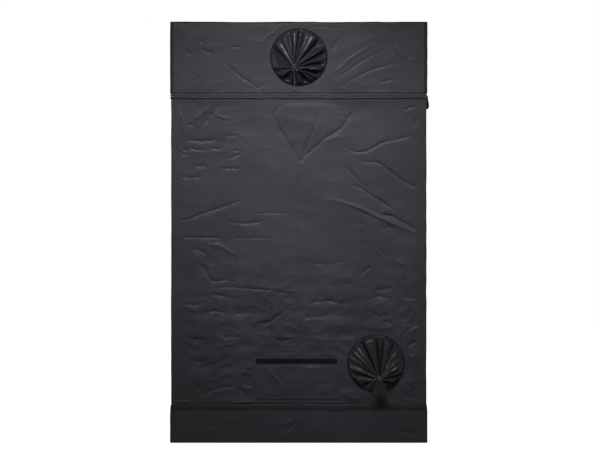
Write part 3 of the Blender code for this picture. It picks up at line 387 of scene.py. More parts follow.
# Creases of the wall in view: height and half width in millimetres, then places in the photograph
REAR_CREASES = (
    (-3.4, 9, ((422, 99), (422, 107), (421.6, 114))),
    (-2.6, 9, ((419, 114), (416, 121), (415.5, 128))),
    (-2.2, 11, ((404, 110), (410, 108), (419, 105))),
    (-2.6, 9, ((175, 103), (175.6, 112), (174.6, 122), (175.8, 134))),
    (-2.4, 9, ((176, 158), (174.6, 172), (176.2, 186), (174.8, 204))),
    (-2.0, 9, ((421, 250), (420.2, 268), (421.4, 290))),
    (-2.2, 13, ((180, 176), (190, 178), (203, 176.5))),
    (-2.0, 14, ((228, 222), (246, 223.5), (266, 221))),
    (-1.8, 14, ((305, 262), (326, 264), (349, 260.5))),
    (-2.0, 13, ((180, 303), (196, 305), (207, 302))),
    (-2.2, 14, ((306, 303), (327, 301), (349, 304.5))),
    (-3.2, 12, ((283, 102), (279, 107), (273, 114), (278, 125), (285, 138), (293, 150), (299, 163))),
    (-2.2, 10, ((318, 110), (318, 117), (315, 126), (311, 134), (307, 145), (303, 155), (300, 163))),
    (-3.4, 11, ((352, 112), (345, 123), (339, 130), (327, 137), (319, 144), (309, 153), (300, 162))),
    (-1.6, 9, ((299, 163), (298.6, 230), (298.6, 300), (298.4, 358))),
    (1.0, 12, ((329, 142), (334, 137.5), (338, 136.5), (344, 139))),
    (-2.6, 9, ((341, 144), (352, 151), (363, 152), (370, 150), (382, 143), (400, 139), (413, 135))),
    (-3.4, 12, ((359, 162), (379, 163), (386, 168), (392, 173), (402, 180), (411, 185), (423, 190))),
    (-2.8, 10, ((344, 164.5), (348, 170), (355, 176), (361, 182), (372, 191.5))),
    (-3.6, 11, ((352, 185), (363, 189), (370, 194.5), (379, 200), (386, 205), (396, 211))),
    (-4.4, 13, ((369, 208.5), (382, 214.5), (391, 216), (404, 222.5), (420, 232.5))),
    (4.4, 15, ((330, 199), (340, 201.5), (360, 208.5), (383, 219.5), (404, 228.5), (423, 236))),
    (-2.0, 11, ((360, 211), (371, 216), (381, 221.5))),
    (-1.4, 12, ((381, 231), (388, 227.5), (396, 231))),
    (-1.2, 10, ((356, 224), (362, 224), (368, 224.5))),
    (-3.4, 13, ((187, 140), (199, 141), (218, 140))),
    (-2.4, 9, ((187, 148.6), (196, 149.5), (205, 150))),
    (-1.8, 9, ((209, 148.6), (215, 149), (221, 149.5))),
    (-2.4, 10, ((227, 150), (241, 151.5), (234, 157), (227, 158.5))),
    (-1.6, 8, ((226, 135.5), (233, 136), (241, 135))),
    (1.8, 10, ((214, 115), (222, 117.5), (231, 119))),
    (2.4, 14, ((214, 101), (203, 113), (193, 121))),
    (-1.8, 11, ((222, 104), (212, 114), (205, 122), (201, 130))),
    (2.6, 9, ((176, 106), (180, 114), (182, 123), (184, 136))),
    (-2.4, 9, ((184, 134), (180, 142.7), (176.5, 153))),
    (-2.2, 8, ((182, 148.5), (186, 151), (188, 153))),
    (-2.0, 8, ((180, 153.5), (184, 154.5), (188, 155.5))),
    (-1.6, 9, ((186, 125), (190, 125.2), (195, 125))),
    (-2.4, 10, ((221, 168.5), (232, 168.8), (242, 168.2))),
    (-1.6, 12, ((194, 167), (202, 166.5), (209, 167))),
    (-2.8, 11, ((174, 219), (187, 220), (199, 215), (217, 209), (243, 200))),
    (2.0, 10, ((173, 174), (176, 181), (180, 188))),
    (-2.2, 9, ((179, 237), (200, 237.6), (225, 238))),
    (-1.6, 8, ((234, 238), (252, 238.2), (274, 238))),
    (-1.6, 9, ((253, 214), (271, 213), (289, 214))),
    (2.2, 18, ((203, 243), (222, 247), (240, 258))),
    (-2.2, 13, ((190, 249), (199, 250), (209, 256))),
    (-3.0, 16, ((193, 261), (205, 269), (212, 281), (230, 279))),
    (-2.8, 12, ((211, 289), (226, 287), (250, 289), (267, 289.7), (281, 292.6), (298, 293.5))),
    (-1.8, 10, ((268, 290), (263, 294), (258, 297))),
    (-2.4, 13, ((211, 295), (222, 296), (236, 300))),
    (-2.6, 11, ((203, 314), (216, 311), (229, 314.5))),
    (-1.8, 11, ((233, 315), (243, 312.5), (253, 313.5))),
    (-3.2, 15, ((254, 324), (270, 322), (281, 313.5), (293, 308.5))),
    (-2.2, 13, ((183, 337), (194, 339), (205, 340))),
    (-2.0, 13, ((222, 338), (232, 336.5), (243, 338))),
    (-2.4, 14, ((268, 336), (281, 341), (294, 338))),
    (-2.2, 12, ((376, 245), (383, 253), (386, 259))),
    (-2.2, 12, ((374, 264), (368, 269), (359, 275))),
    (-1.4, 9, ((398, 249), (401, 249.5), (404, 249))),
    (-1.6, 11, ((342, 281), (347, 284), (353, 284))),
    (-2.2, 10, ((376, 291), (384, 289.5), (393, 287.5))),
    (-2.6, 12, ((368, 300), (380, 296), (393, 301))),
    (-2.6, 11, ((403, 297), (415, 298.5), (425, 302))),
    (-1.8, 9, ((416, 291), (420, 292.5), (424.5, 293))),
    (2.4, 22, ((392, 256), (404, 268), (398, 284))),
    (-2.0, 16, ((363, 308), (372, 313), (382, 318))),
    (-2.2, 11, ((407, 309), (415, 313), (424, 318))),
    (-2.0, 11, ((303, 318), (314, 317), (326, 316), (331, 311))),
    (-2.2, 16, ((383, 321), (391, 324), (401, 329))),
    (-2.6, 10, ((399, 344), (406, 331.7), (415, 325.7), (423, 323.5))),
    (2.4, 9, ((384, 330), (389, 336), (395, 341.5))),
    (2.0, 8, ((378, 322), (378.5, 327), (380, 333))),
    (-2.2, 10, ((404, 350), (411, 344), (424, 338))),
    (2.2, 12, ((405, 357), (414, 356), (423, 352))),
    (-2.0, 10, ((405, 366), (414, 369), (424, 368))),
    (3.0, 9, ((407, 379), (412, 384), (418, 389))),
    (-2.2, 9, ((409, 378), (414.5, 383), (420, 388))),
    (-1.8, 12, ((400, 392), (410, 397), (423, 399))),
    (2.6, 16, ((339, 393), (349, 397), (361, 399))),
    (-2.2, 13, ((322, 400), (335, 401), (350, 403))),
    (2.0, 14, ((340, 369), (343, 374), (345, 381))),
    (-2.6, 12, ((383, 389), (388, 391), (394, 388))),
    (3.2, 12, ((256, 361), (249, 368), (241, 376))),
    (-3.0, 14, ((252, 366), (246, 374), (250, 382))),
    (3.0, 14, ((242, 386), (248, 388), (255, 389))),
    (-3.0, 20, ((200, 396), (216, 389), (234, 387), (247, 396))),
    (2.2, 14, ((196, 372), (207, 380), (222, 378), (230, 370))),
    (-2.2, 12, ((190, 360), (201, 362), (213, 358))),
    (2.2, 16, ((276, 350), (288, 349.5), (297, 350.5))),
    (2.0, 16, ((222, 344), (230, 344.5), (236, 344))),
    (-1.8, 12, ((193, 377), (195, 385), (203, 394))),
    (-2.0, 8, ((377.5, 398), (377.6, 404), (377.4, 410))),
)
FLAP_CREASES = (
    (2.6, 12, ((264, 366), (276, 378), (286, 390))),
    (-2.4, 14, ((259, 368), (268, 380), (275, 392))),
    (2.4, 22, ((302, 368), (314, 367.5), (327, 367))),
    (-2.0, 18, ((298.6, 364), (298.6, 380), (298.6, 398))),
    (2.0, 16, ((262, 395), (272, 394), (290, 396))),
    (-1.8, 16, ((305, 378), (318, 384), (332, 382))),
)
CAP_CREASES = (
    (-1.8, 9, ((200, 49.5), (207.3, 52), (214, 54))),
    (-2.0, 9, ((222, 62), (231.7, 69), (237, 74.5), (244, 79), (258, 88))),
    (-1.2, 8, ((190, 83.5), (195.6, 79), (199, 77.6))),
    (-1.3, 8, ((229, 47), (236, 47.3), (244, 47))),
    (-1.4, 8, ((200, 40.7), (202, 42), (204, 44))),
    (-1.1, 12, ((185, 53), (189, 53.5), (193, 54))),
    (1.8, 10, ((333, 74.6), (346, 63), (356, 55.4), (375, 44))),
    (-1.4, 9, ((337, 79), (352, 68), (366, 59), (384, 50))),
    (-1.6, 9, ((340, 87), (354, 79), (372, 70), (403, 62))),
    (-1.3, 8, ((376, 84), (386, 81), (396, 79))),
    (-1.4, 8, ((331, 51), (335, 45), (340, 38))),
    (1.0, 12, ((392, 44), (404, 58), (418, 62))),
    (1.1, 11, ((262, 44), (268, 37), (278, 30))),
    (-1.2, 9, ((268, 80), (262, 86), (254, 91))),
    (-1.0, 10, ((300, 30), (318, 27), (340, 29))),
)
SKIRT_CREASES = (
    (-2.2, 8, ((377.5, 407), (377.6, 420), (377.4, 441))),
    (2.0, 10, ((273, 421), (284, 424), (296, 418))),
    (-2.0, 9, ((284, 433), (291, 427), (297, 421))),
    (-1.8, 9, ((296, 439), (302, 436.5), (307, 434.5))),
    (-1.6, 8, ((304, 424), (307, 425), (309, 424))),
    (-1.8, 8, ((312, 430.5), (314, 431), (316, 430.5))),
    (-2.4, 9, ((399, 431.5), (410.8, 433), (419, 439))),
    (1.8, 9, ((401, 428), (412, 427), (422, 431))),
    (1.8, 7, ((414, 410), (419, 418), (425, 424))),
    (-1.4, 9, ((190, 428), (230, 424), (268, 429))),
)
SEAM_CREASES = (
    (2.6, 5, ((172, 401.5), (180, 401.5), (194, 401.5))),
    (2.4, 5, ((226, 402.5), (262, 401.5), (297, 401.5))),
    (-2.4, 6, ((176, 404), (240, 404.2), (330, 404.2), (422, 404))),
)
# Long pulls in the other walls: height and half width in millimetres, then across and up in metres
SIDE_CREASES = (
    (-3.2, 18, ((-0.50, 1.55), (-0.22, 1.38), (0.04, 1.20))),
    (2.6, 16, ((-0.44, 1.50), (-0.16, 1.33), (0.10, 1.14))),
    (-2.6, 15, ((0.50, 1.52), (0.30, 1.34), (0.06, 1.18))),
    (-2.0, 9, ((0.0, 1.58), (0.0, 1.10), (0.0, 0.45))),
    (-1.6, 9, ((-0.55, 1.02), (-0.10, 1.00), (0.52, 1.01))),
    (2.8, 17, ((-0.52, 0.92), (-0.26, 0.84), (-0.08, 0.78))),
    (-2.6, 15, ((0.12, 0.86), (0.34, 0.92), (0.53, 1.00))),
    (2.2, 16, ((0.10, 0.66), (0.32, 0.70), (0.52, 0.64))),
    (-2.0, 13, ((-0.50, 0.60), (-0.34, 0.52), (-0.22, 0.44))),
    (1.8, 12, ((0.24, 0.46), (0.36, 0.54), (0.50, 0.58))),
)


def settings():
    return bpy.context.scene.grow_tent


def smooth_step(value):
    """0 below 0, 1 above 1 and an even turn between them."""
    value = np.clip(value, 0.0, 1.0)
    return value * value * (3.0 - 2.0 * value)


def ripple(x, z, across, up, seed, waves=14):
    """An even, seeded unevenness about as long as the two given lengths, mostly between -1 and 1."""
    chance = np.random.default_rng(seed)
    total = np.zeros_like(x)
    for _ in range(waves):
        heading = chance.uniform(0.0, math.tau)
        pace = math.tau * chance.uniform(0.6, 1.5)
        phase = chance.uniform(0.0, math.tau)
        total += np.cos(pace * (x * math.cos(heading) / across + z * math.sin(heading) / up) + phase)
    return total / math.sqrt(waves)


def smooth_route(points, step):
    """Points every step or so along a smooth curve through the given points."""
    route = [Vector(point) for point in points]
    ends = [route[0] * 2 - route[1], *route, route[-1] * 2 - route[-2]]
    smoothed = [route[0]]
    for before, start, end, after in zip(ends, ends[1:], ends[2:], ends[3:]):
        pieces = max(1, round((end - start).length / step))
        for piece in range(1, pieces + 1):
            t = piece / pieces
            smoothed.append(
                (
                    start * 2
                    + (end - before) * t
                    + (before * 2 - start * 5 + end * 4 - after) * t**2
                    + (start * 3 - before - end * 3 + after) * t**3
                )
                / 2
            )
    return smoothed


def photo_place(place):
    """Where a pixel of the photograph lies on the wall in view, as across and up."""
    return ((place[0] - PHOTO_MIDDLE) * PHOTO_ACROSS, (PHOTO_GROUND - place[1]) * PHOTO_UP)


def nearest_on(line, across, up):
    """How far places are from a line, and what share of the line lies before their nearest point."""
    nearest = np.full_like(across, np.inf)
    share = np.zeros_like(across)
    for index, (start, end) in enumerate(zip(line, line[1:])):
        run = end - start
        along = (across - start.x) * run.x + (up - start.y) * run.y
        along = np.clip(along / max(run.length_squared, CREASE_SHORTEST**2), 0.0, 1.0)
        distance = np.hypot(across - start.x - along * run.x, up - start.y - along * run.y)
        closer = distance < nearest
        nearest[closer] = distance[closer]
        share[closer] = (index + along[closer]) / (len(line) - 1)
    return nearest, share


def crease_relief(x, z, creases, to_wall):
    """How far creases lift or sink the cloth: each fades towards both ends of its line."""
    total = np.zeros_like(x)
    wander = [
        CREASE_WANDER * ripple(x, z, CREASE_WANDER_LENGTH, CREASE_WANDER_LENGTH, seed) for seed in (901, 902)
    ]
    for number, (height, width, places) in enumerate(creases):
        line = smooth_route([(*to_wall(place), 0.0) for place in places], CREASE_STEP)
        half = width * settings().crease_width * MILLIMETRE
        reach = CREASE_REACH * half
        near = (x > min(point.x for point in line) - reach) & (x < max(point.x for point in line) + reach)
        near &= (z > min(point.y for point in line) - reach) & (z < max(point.y for point in line) + reach)
        nearest, share = nearest_on(line, x[near] + wander[0][near], z[near] + wander[1][near])
        taper = np.sin(math.pi * np.clip(share, 0.0, 1.0)) ** CREASE_TAPER
        taper = taper * (1.0 + CREASE_CHANGE_SHARE * np.sin(3 * math.tau * share + number))
        apart = nearest / half
        spread = CREASE_PEAK_SHARE * np.exp(-(apart**CREASE_PEAK_POWER))
        spread += (1 - CREASE_PEAK_SHARE) * np.exp(-((apart / CREASE_FOOT) ** 2))
        total[near] += height * MILLIMETRE * taper * spread
    return total * settings().crease_depth


def same_place(place):
    return place


def mirrored_place(place):
    return -place[0], place[1]


def wall_creases(side, x, z):
    """The creases of one wall; the left wall has the right one's, mirrored."""
    if side == "rear":
        return crease_relief(x, z, REAR_CREASES, photo_place)
    return crease_relief(x, z, SIDE_CREASES, mirrored_place if side == "left" else same_place)


def grid_lines(low, high, step, *through):
    """Places every step or so from low to high, with a line through each given place."""
    stops = sorted({low, high, *[place for place in through if low < place < high]})
    lines = [np.array([low])]
    for start, end in zip(stops, stops[1:]):
        pieces = max(1, round((end - start) / step))
        lines.append(np.linspace(start, end, pieces + 1)[1:])
    return np.concatenate(lines)


def on_side(side, across, out, up):
    """Points of one side of the tent, from along it, away from the middle and up."""
    places = {
        "rear": (across, -out, up),
        "front": (-across, out, up),
        "right": (out, across, up),
        "left": (-out, -across, up),
    }
    return np.stack(np.broadcast_arrays(*places[side]), axis=-1)


def quads_of(rows, columns, closed=False):
    """Quads between neighbouring rows of points; a closed grid joins its last column to its first."""
    index = np.arange(rows * columns).reshape(rows, columns)
    if closed:
        index = np.concatenate([index, index[:, :1]], axis=1)
    return np.stack([index[:-1, :-1], index[:-1, 1:], index[1:, 1:], index[1:, :-1]], -1).reshape(-1, 4)


def cloth_patch(side, across, up, relief, keep=None, snap=None):
    """A patch of cloth on one side: its places, less what keep leaves out, with edges moved by snap."""
    x, z = np.meshgrid(across, up)
    quads = quads_of(*x.shape)
    if keep is not None:
        middle_x = (x[:-1, :-1] + x[1:, 1:]) / 2
        middle_z = (z[:-1, :-1] + z[1:, 1:]) / 2
        quads = quads[keep(middle_x, middle_z).reshape(-1)]
    if snap is not None:
        x, z = snap(x, z)
    points = on_side(side, x, relief(x, z), z).reshape(-1, 3)
    used, quads = np.unique(quads, return_inverse=True)
    return points[used], quads.reshape(-1, 4)


def tube_patch(path, radius, sides=10, closed=False):
    """A round tube along a path; an open one gets flat ends."""
    path = [Vector(point) for point in path]
    count = len(path)
    before = path[-1:] + path[:-1] if closed else path[:1] + path[:-1]
    after = path[1:] + path[:1] if closed else path[1:] + path[-1:]
    tangents = [(far - near).normalized() for near, far in zip(before, after)]
    normal = tangents[0].orthogonal().normalized()
    rings = []
    for place, tangent in zip(path, tangents):
        normal = (normal - tangent * normal.dot(tangent)).normalized()
        side = tangent.cross(normal)
        for step in range(sides):
            turn = math.tau * step / sides
            rings.append(place + (normal * math.cos(turn) + side * math.sin(turn)) * radius)
    quads = quads_of(count + closed, sides, True) % (count * sides)
    faces = quads.tolist()
    if not closed:
        faces.append(list(range(sides))[::-1])
        faces.append([(count - 1) * sides + step for step in range(sides)])
    return np.array(rings), faces


def box_patch(middles, along, across, out, sizes):
    """Small boxes at many places at once, each with its own three directions."""
    corners = np.array([(i, j, k) for i in (-0.5, 0.5) for j in (-0.5, 0.5) for k in (-0.5, 0.5)])
    points = (
        middles[:, None]
        + corners[None, :, :1] * along[:, None] * sizes[0]
        + corners[None, :, 1:2] * across[:, None] * sizes[1]
        + corners[None, :, 2:] * out[:, None] * sizes[2]
    )
    box = np.array([(0, 1, 3, 2), (4, 6, 7, 5), (0, 4, 5, 1), (2, 3, 7, 6), (0, 2, 6, 4), (1, 5, 7, 3)])
    quads = box[None] + 8 * np.arange(len(middles))[:, None, None]
    return points.reshape(-1, 3), quads.reshape(-1, 4)


def band_patch(places, sides, outs, near, far, low, high, closed):
    """A flat band: from near to far along its side direction, and from low to high outwards."""
    rings = np.stack(
        [
            places + sides * reach + outs * rise
            for reach, rise in ((near, low), (far, low), (far, high), (near, high))
        ],
        axis=1,
    )
    count = len(places)
    quads = quads_of(count + closed, 4, True) % (count * 4)
    faces = quads.tolist()
    if not closed:
        faces += [[3, 2, 1, 0], [4 * (count - 1) + step for step in range(4)]]
    return rings.reshape(-1, 3), faces


def make_piece(name, patches, finishes, body, smooth=True, replaces=()):
    """One named piece from patches of points, faces and the number of their finish."""
    points, faces, numbers = [], [], []
    for patch in patches:
        start = sum(len(more) for more in points)
        points.append(np.asarray(patch[0], dtype=float))
        added = [[start + corner for corner in face] for face in np.asarray(patch[1], dtype=object).tolist()]
        faces += added
        numbers += [patch[2] if len(patch) > 2 else 0] * len(added)
    mesh = bpy.data.meshes.new(name)
    mesh.from_pydata(np.concatenate(points).tolist(), [], faces)
    mesh.polygons.foreach_set("use_smooth", [smooth] * len(faces))
    mesh.polygons.foreach_set("material_index", numbers)
    for finish in finishes:
        mesh.materials.append(finish)
    mesh.validate()
    mesh.update()
    piece = bpy.data.objects.new(name, mesh)
    bpy.context.scene.collection.objects.link(piece)
    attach(piece, body)
    if replaces:
        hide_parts(*replaces)
    return piece


def thicken(piece, thickness=CLOTH, lining=True):
    """Gives cloth its thickness, inwards from its outer face, with its lining as the second finish."""
    shell = piece.modifiers.new("cloth", "SOLIDIFY")
    shell.thickness = thickness
    shell.offset = -1.0
    shell.material_offset = 1 if lining else 0
    return piece


def new_group(name, inputs):
    """An empty shader node group that puts out a colour, a roughness and a height."""
    tree = bpy.data.node_groups.new(name, "ShaderNodeTree")
    kinds = {"colour": "NodeSocketColor", "value": "NodeSocketFloat"}
    for label, kind, default in inputs:
        socket = tree.interface.new_socket(label, in_out="INPUT", socket_type=kinds[kind])
        socket.default_value = default
    for label, kind in (("Colour", "colour"), ("Roughness", "value"), ("Height", "value")):
        tree.interface.new_socket(label, in_out="OUTPUT", socket_type=kinds[kind])
    return tree, tree.nodes.new("NodeGroupInput"), tree.nodes.new("NodeGroupOutput")


def add_node(tree, kind, inputs=(), **choices):
    """A new shader node with its choices made; each input gets a plain value or a link."""
    node = tree.nodes.new(f"ShaderNode{kind}")
    for label, value in choices.items():
        setattr(node, label, value)
    for key, value in dict(inputs).items():
        if isinstance(value, bpy.types.NodeSocket):
            tree.links.new(value, node.inputs[key])
        else:
            node.inputs[key].default_value = value
    return node


def maths(tree, operation, *values):
    """A Math node fed by sockets or plain numbers; returns its output."""
    return add_node(tree, "Math", enumerate(values), operation=operation).outputs[0]


def noise_of(tree, place, scale, detail=2.0, roughness=0.5):
    """A noise over the surface; returns its output."""
    inputs = {"Vector": place, "Scale": scale, "Detail": detail, "Roughness": roughness}
    return add_node(tree, "TexNoise", inputs).outputs["Fac"]


def spread_of(tree, value, low, high):
    """Stretches the middle of a noise to low to high."""
    start, end = NOISE_MIDDLE
    inputs = {"Value": value, "From Min": start, "From Max": end, "To Min": low, "To Max": high}
    return add_node(tree, "MapRange", inputs).outputs["Result"]


def tinted(tree, colour, factor):
    """A colour made lighter or darker by a factor that changes over the surface."""
    inputs = {0: 1.0, 6: colour, 7: factor}
    return add_node(tree, "Mix", inputs, data_type="RGBA", blend_type="MULTIPLY").outputs[2]


def weave_group():
    """Coated cloth: crossing threads, fine grain, a soft change of tone and of sheen."""
    name = "Coated weave"
    if name in bpy.data.node_groups:
        return bpy.data.node_groups[name]
    inputs = (
        ("Colour", "colour", (0.04, 0.04, 0.045, 1.0)),
        ("Roughness", "value", 0.5),
        ("Thread Pitch", "value", 0.0011),
        ("Mottling", "value", 0.10),
    )
    tree, given, made = new_group(name, inputs)
    place = add_node(tree, "TexCoord").outputs["Object"]
    turns = maths(tree, "DIVIDE", math.tau, given.outputs["Thread Pitch"])
    scaled = add_node(tree, "VectorMath", {0: place, "Scale": turns}, operation="SCALE")
    split = add_node(tree, "SeparateXYZ", {0: scaled.outputs[0]})
    waves = [maths(tree, "SINE", split.outputs[axis]) for axis in range(3)]
    crossed = [maths(tree, "MULTIPLY", waves[i], waves[j]) for i, j in ((0, 2), (1, 2), (0, 1))]
    threads = maths(tree, "ADD", maths(tree, "ADD", crossed[0], crossed[1]), crossed[2])
    grain = noise_of(tree, place, scale=900.0)
    height = maths(tree, "ADD", maths(tree, "MULTIPLY", threads, THREAD_SHARE), grain)
    tree.links.new(height, made.inputs["Height"])
    less = maths(tree, "SUBTRACT", 1.0, given.outputs["Mottling"])
    more = maths(tree, "ADD", 1.0, given.outputs["Mottling"])
    patches = spread_of(tree, noise_of(tree, place, scale=4.5, detail=6.0, roughness=0.6), less, more)
    tree.links.new(tinted(tree, given.outputs["Colour"], patches), made.inputs["Colour"])
    sheen = spread_of(tree, noise_of(tree, place, scale=11.0, detail=4.0, roughness=0.55), -0.06, 0.06)
    tree.links.new(maths(tree, "ADD", given.outputs["Roughness"], sheen), made.inputs["Roughness"])
    return tree


def foil_group():
    """Reflective lining with small diamonds pressed into it and soft wrinkles."""
    name = "Diamond foil"
    if name in bpy.data.node_groups:
        return bpy.data.node_groups[name]
    inputs = (
        ("Colour", "colour", (0.8, 0.8, 0.82, 1.0)),
        ("Diamond", "value", 0.011),
        ("Roughness", "value", 0.3),
    )
    tree, given, made = new_group(name, inputs)
    place = add_node(tree, "TexCoord").outputs["Object"]
    split = add_node(tree, "SeparateXYZ", {0: place})
    level = maths(tree, "ADD", split.outputs[0], split.outputs[1])
    turns = maths(tree, "DIVIDE", math.tau, given.outputs["Diamond"])
    rising, falling = [
        maths(tree, "SINE", maths(tree, "MULTIPLY", maths(tree, operation, level, split.outputs[2]), turns))
        for operation in ("ADD", "SUBTRACT")
    ]
    diamonds = maths(tree, "ABSOLUTE", maths(tree, "MULTIPLY", rising, falling))
    wrinkles = noise_of(tree, place, scale=24.0, detail=5.0, roughness=0.6)
    wrinkles = maths(tree, "MULTIPLY", wrinkles, WRINKLE_SHARE)
    tree.links.new(maths(tree, "ADD", diamonds, wrinkles), made.inputs["Height"])
    tone = spread_of(tree, noise_of(tree, place, scale=7.0, detail=3.0), low=0.92, high=1.06)
    tree.links.new(tinted(tree, given.outputs["Colour"], tone), made.inputs["Colour"])
    haze = spread_of(tree, noise_of(tree, place, scale=30.0, detail=3.0), low=-0.07, high=0.10)
    tree.links.new(maths(tree, "ADD", given.outputs["Roughness"], haze), made.inputs["Roughness"])
    return tree


def scuff_group():
    """Hard surface with rubbed streaks and a grain, for paint, metal and moulded rubber."""
    name = "Scuffs"
    if name in bpy.data.node_groups:
        return bpy.data.node_groups[name]
    inputs = (
        ("Colour", "colour", (0.6, 0.6, 0.6, 1.0)),
        ("Rubbed Colour", "colour", (0.4, 0.4, 0.4, 1.0)),
        ("Wear", "value", 0.3),
        ("Roughness", "value", 0.4),
        ("Grain", "value", 400.0),
    )
    tree, given, made = new_group(name, inputs)
    place = add_node(tree, "TexCoord").outputs["Object"]
    streaks = noise_of(tree, place, scale=55.0, detail=8.0, roughness=0.7)
    rubbed = maths(tree, "MAXIMUM", spread_of(tree, streaks, low=-0.6, high=1.0), 0.0)
    rubbed = maths(tree, "MULTIPLY", rubbed, given.outputs["Wear"])
    inputs = {0: rubbed, 6: given.outputs["Colour"], 7: given.outputs["Rubbed Colour"]}
    mix = add_node(tree, "Mix", inputs, data_type="RGBA")
    tree.links.new(mix.outputs[2], made.inputs["Colour"])
    rougher = maths(tree, "MULTIPLY", rubbed, RUBBED_ROUGHNESS)
    tree.links.new(maths(tree, "ADD", given.outputs["Roughness"], rougher), made.inputs["Roughness"])
    grain = noise_of(tree, place, given.outputs["Grain"])
    tree.links.new(maths(tree, "ADD", grain, rubbed), made.inputs["Height"])
    return tree


def finish_from(name, group, values, bump, **looks):
    """A finish whose colour, roughness and bump come from one of the groups."""
    if name in bpy.data.materials:
        return bpy.data.materials[name]
    finish = bpy.data.materials.new(name)
    finish.use_nodes = True
    tree = finish.node_tree
    shader = tree.nodes["Principled BSDF"]
    for look, value in looks.items():
        shader.inputs[LOOKS[look]].default_value = value
    values = {label: (*value, 1.0) if hasattr(value, "__len__") else value for label, value in values.items()}
    source = add_node(tree, "Group", values, node_tree=group).outputs
    relief = {"Strength": BUMP_STRENGTH, "Distance": bump, "Height": source["Height"]}
    tree.links.new(source["Colour"], shader.inputs["Base Color"])
    tree.links.new(source["Roughness"], shader.inputs["Roughness"])
    tree.links.new(add_node(tree, "Bump", relief).outputs["Normal"], shader.inputs["Normal"])
    return finish


def cloth_finish(name, colour, roughness, thread, mottling, bump, **looks):
    """Coated weave: after the name its colour, roughness, thread pitch, mottling and bump."""
    values = {"Colour": colour, "Roughness": roughness, "Thread Pitch": thread, "Mottling": mottling}
    return finish_from(name, weave_group(), values, bump, **looks)


def hard_finish(name, colour, rubbed, roughness, bump, wear=0.3, **looks):
    """Scuffs: after the name its colour, rubbed colour, roughness and bump."""
    values = {"Colour": colour, "Rubbed Colour": rubbed, "Wear": wear, "Roughness": roughness}
    return finish_from(name, scuff_group(), values, bump, **looks)


def wall_finish():
    chosen = settings()
    colour, thread = chosen.cloth_colour, chosen.thread_pitch
    return cloth_finish("Coated wall cloth", colour, 0.42, thread, 0.13, 0.00008, specular=0.06)


def floor_finish():
    colour = settings().floor_colour
    return cloth_finish("Coated floor cloth", colour, 0.40, 0.0013, 0.14, 0.00010, specular=0.07)


def sleeve_finish():
    colour = settings().sleeve_colour
    return cloth_finish("Glossy sleeve film", colour, 0.34, 0.0008, 0.10, 0.00002, specular=0.11)


def lining_finish():
    values = {"Colour": settings().lining_colour, "Roughness": 0.30}
    return finish_from("Reflective lining", foil_group(), values, 0.0003, metallic=0.92)


def binding_finish():
    return cloth_finish("Seam binding", (0.006, 0.006, 0.007), 0.62, 0.0009, 0.15, 0.00015, specular=0.08)


def hem_and_shade_finish():
    # Darker than the wall cloth: painted shade for the dark lines along the long zip's hems and the skirt's
    # seam
    return cloth_finish("Folded hem", (0.0140, 0.0140, 0.0165), 0.50, 0.0009, 0.15, 0.00012, specular=0.06)


def tape_finish():
    colour = (0.0275, 0.0275, 0.0315)
    return cloth_finish("Woven zip tape", colour, 0.50, 0.0007, 0.12, 0.00012, specular=0.12)


def teeth_finish():
    colour, rubbed = (0.024, 0.024, 0.027), (0.030, 0.030, 0.033)
    return hard_finish("Moulded zip teeth", colour, rubbed, 0.6, 0.00003, specular=0.12)


def hook_finish():
    colour = (0.0045, 0.0045, 0.006)
    return cloth_finish("Hook and loop", colour, 0.85, 0.0016, 0.30, 0.0004, specular=0.06, sheen=0.02)


def screen_finish():
    return cloth_finish("Insect screen", (0.012, 0.012, 0.014), 0.70, 0.0005, 0.10, 0.00005, specular=0.3)


def stitch_finish():
    return cloth_finish("Stitching", (0.030, 0.030, 0.034), 0.55, 0.0004, 0.20, 0.00008, specular=0.4)


def cord_finish():
    colour = settings().cord_colour
    return cloth_finish("Braided cord", colour, 0.72, 0.0007, 0.25, 0.0002, specular=0.3, sheen=0.15)


def pole_finish():
    colour, rubbed = (0.62, 0.62, 0.60), (0.34, 0.34, 0.34)
    looks = {"metallic": 0.1, "coat": 0.25, "coat_roughness": 0.2}
    return hard_finish("Enamelled pole", colour, rubbed, 0.34, 0.00004, wear=0.25, **looks)


def corner_finish():
    colour, rubbed = (0.50, 0.50, 0.50), (0.66, 0.66, 0.66)
    return hard_finish("Pressed steel", colour, rubbed, 0.36, 0.00006, wear=0.5, metallic=0.9)


def slider_finish():
    colour, rubbed = (0.05, 0.05, 0.055), (0.28, 0.28, 0.29)
    return hard_finish("Blackened metal", colour, rubbed, 0.36, 0.00002, wear=0.35, metallic=0.85)


def rubber_finish():
    colour, rubbed = (0.0035, 0.0035, 0.0040), (0.012, 0.012, 0.013)
    return hard_finish("Moulded rubber", colour, rubbed, 0.60, 0.00008, specular=0.10)


def pane_finish():
    colour, rubbed = settings().window_colour, (0.30, 0.48, 0.30)
    looks = {"specular": 0.5, "coat": 0.6, "coat_roughness": 0.08}
    return hard_finish("Green window sheet", colour, rubbed, 0.12, 0.00006, wear=0.15, **looks)


def seated_edges(x, half):
    """0 where the cloth lies over the posts at both sides, 1 in the open span between them."""
    return smooth_step((half - np.abs(x) - POST_FLAT) / POST_FADE)


def outside_port(x, z, port):
    """0 at a port's rim, 1 where the cloth is free of it."""
    return smooth_step((np.hypot(x - port[0], z - port[1]) - PORT_RADIUS - RIM_FLAT) / RIM_FADE)


def outside_flap(x, z, offset):
    """0 under a low vent's flap, 1 where the cloth is free of it."""
    beyond_x = np.abs(x - offset) - VENT_HALF_WIDTH
    beyond_z = np.maximum(FLAP_BOTTOM - z, z - FLAP_TOP)
    return smooth_step((np.maximum(beyond_x, beyond_z) - VENT_FLAT) / VENT_FADE)


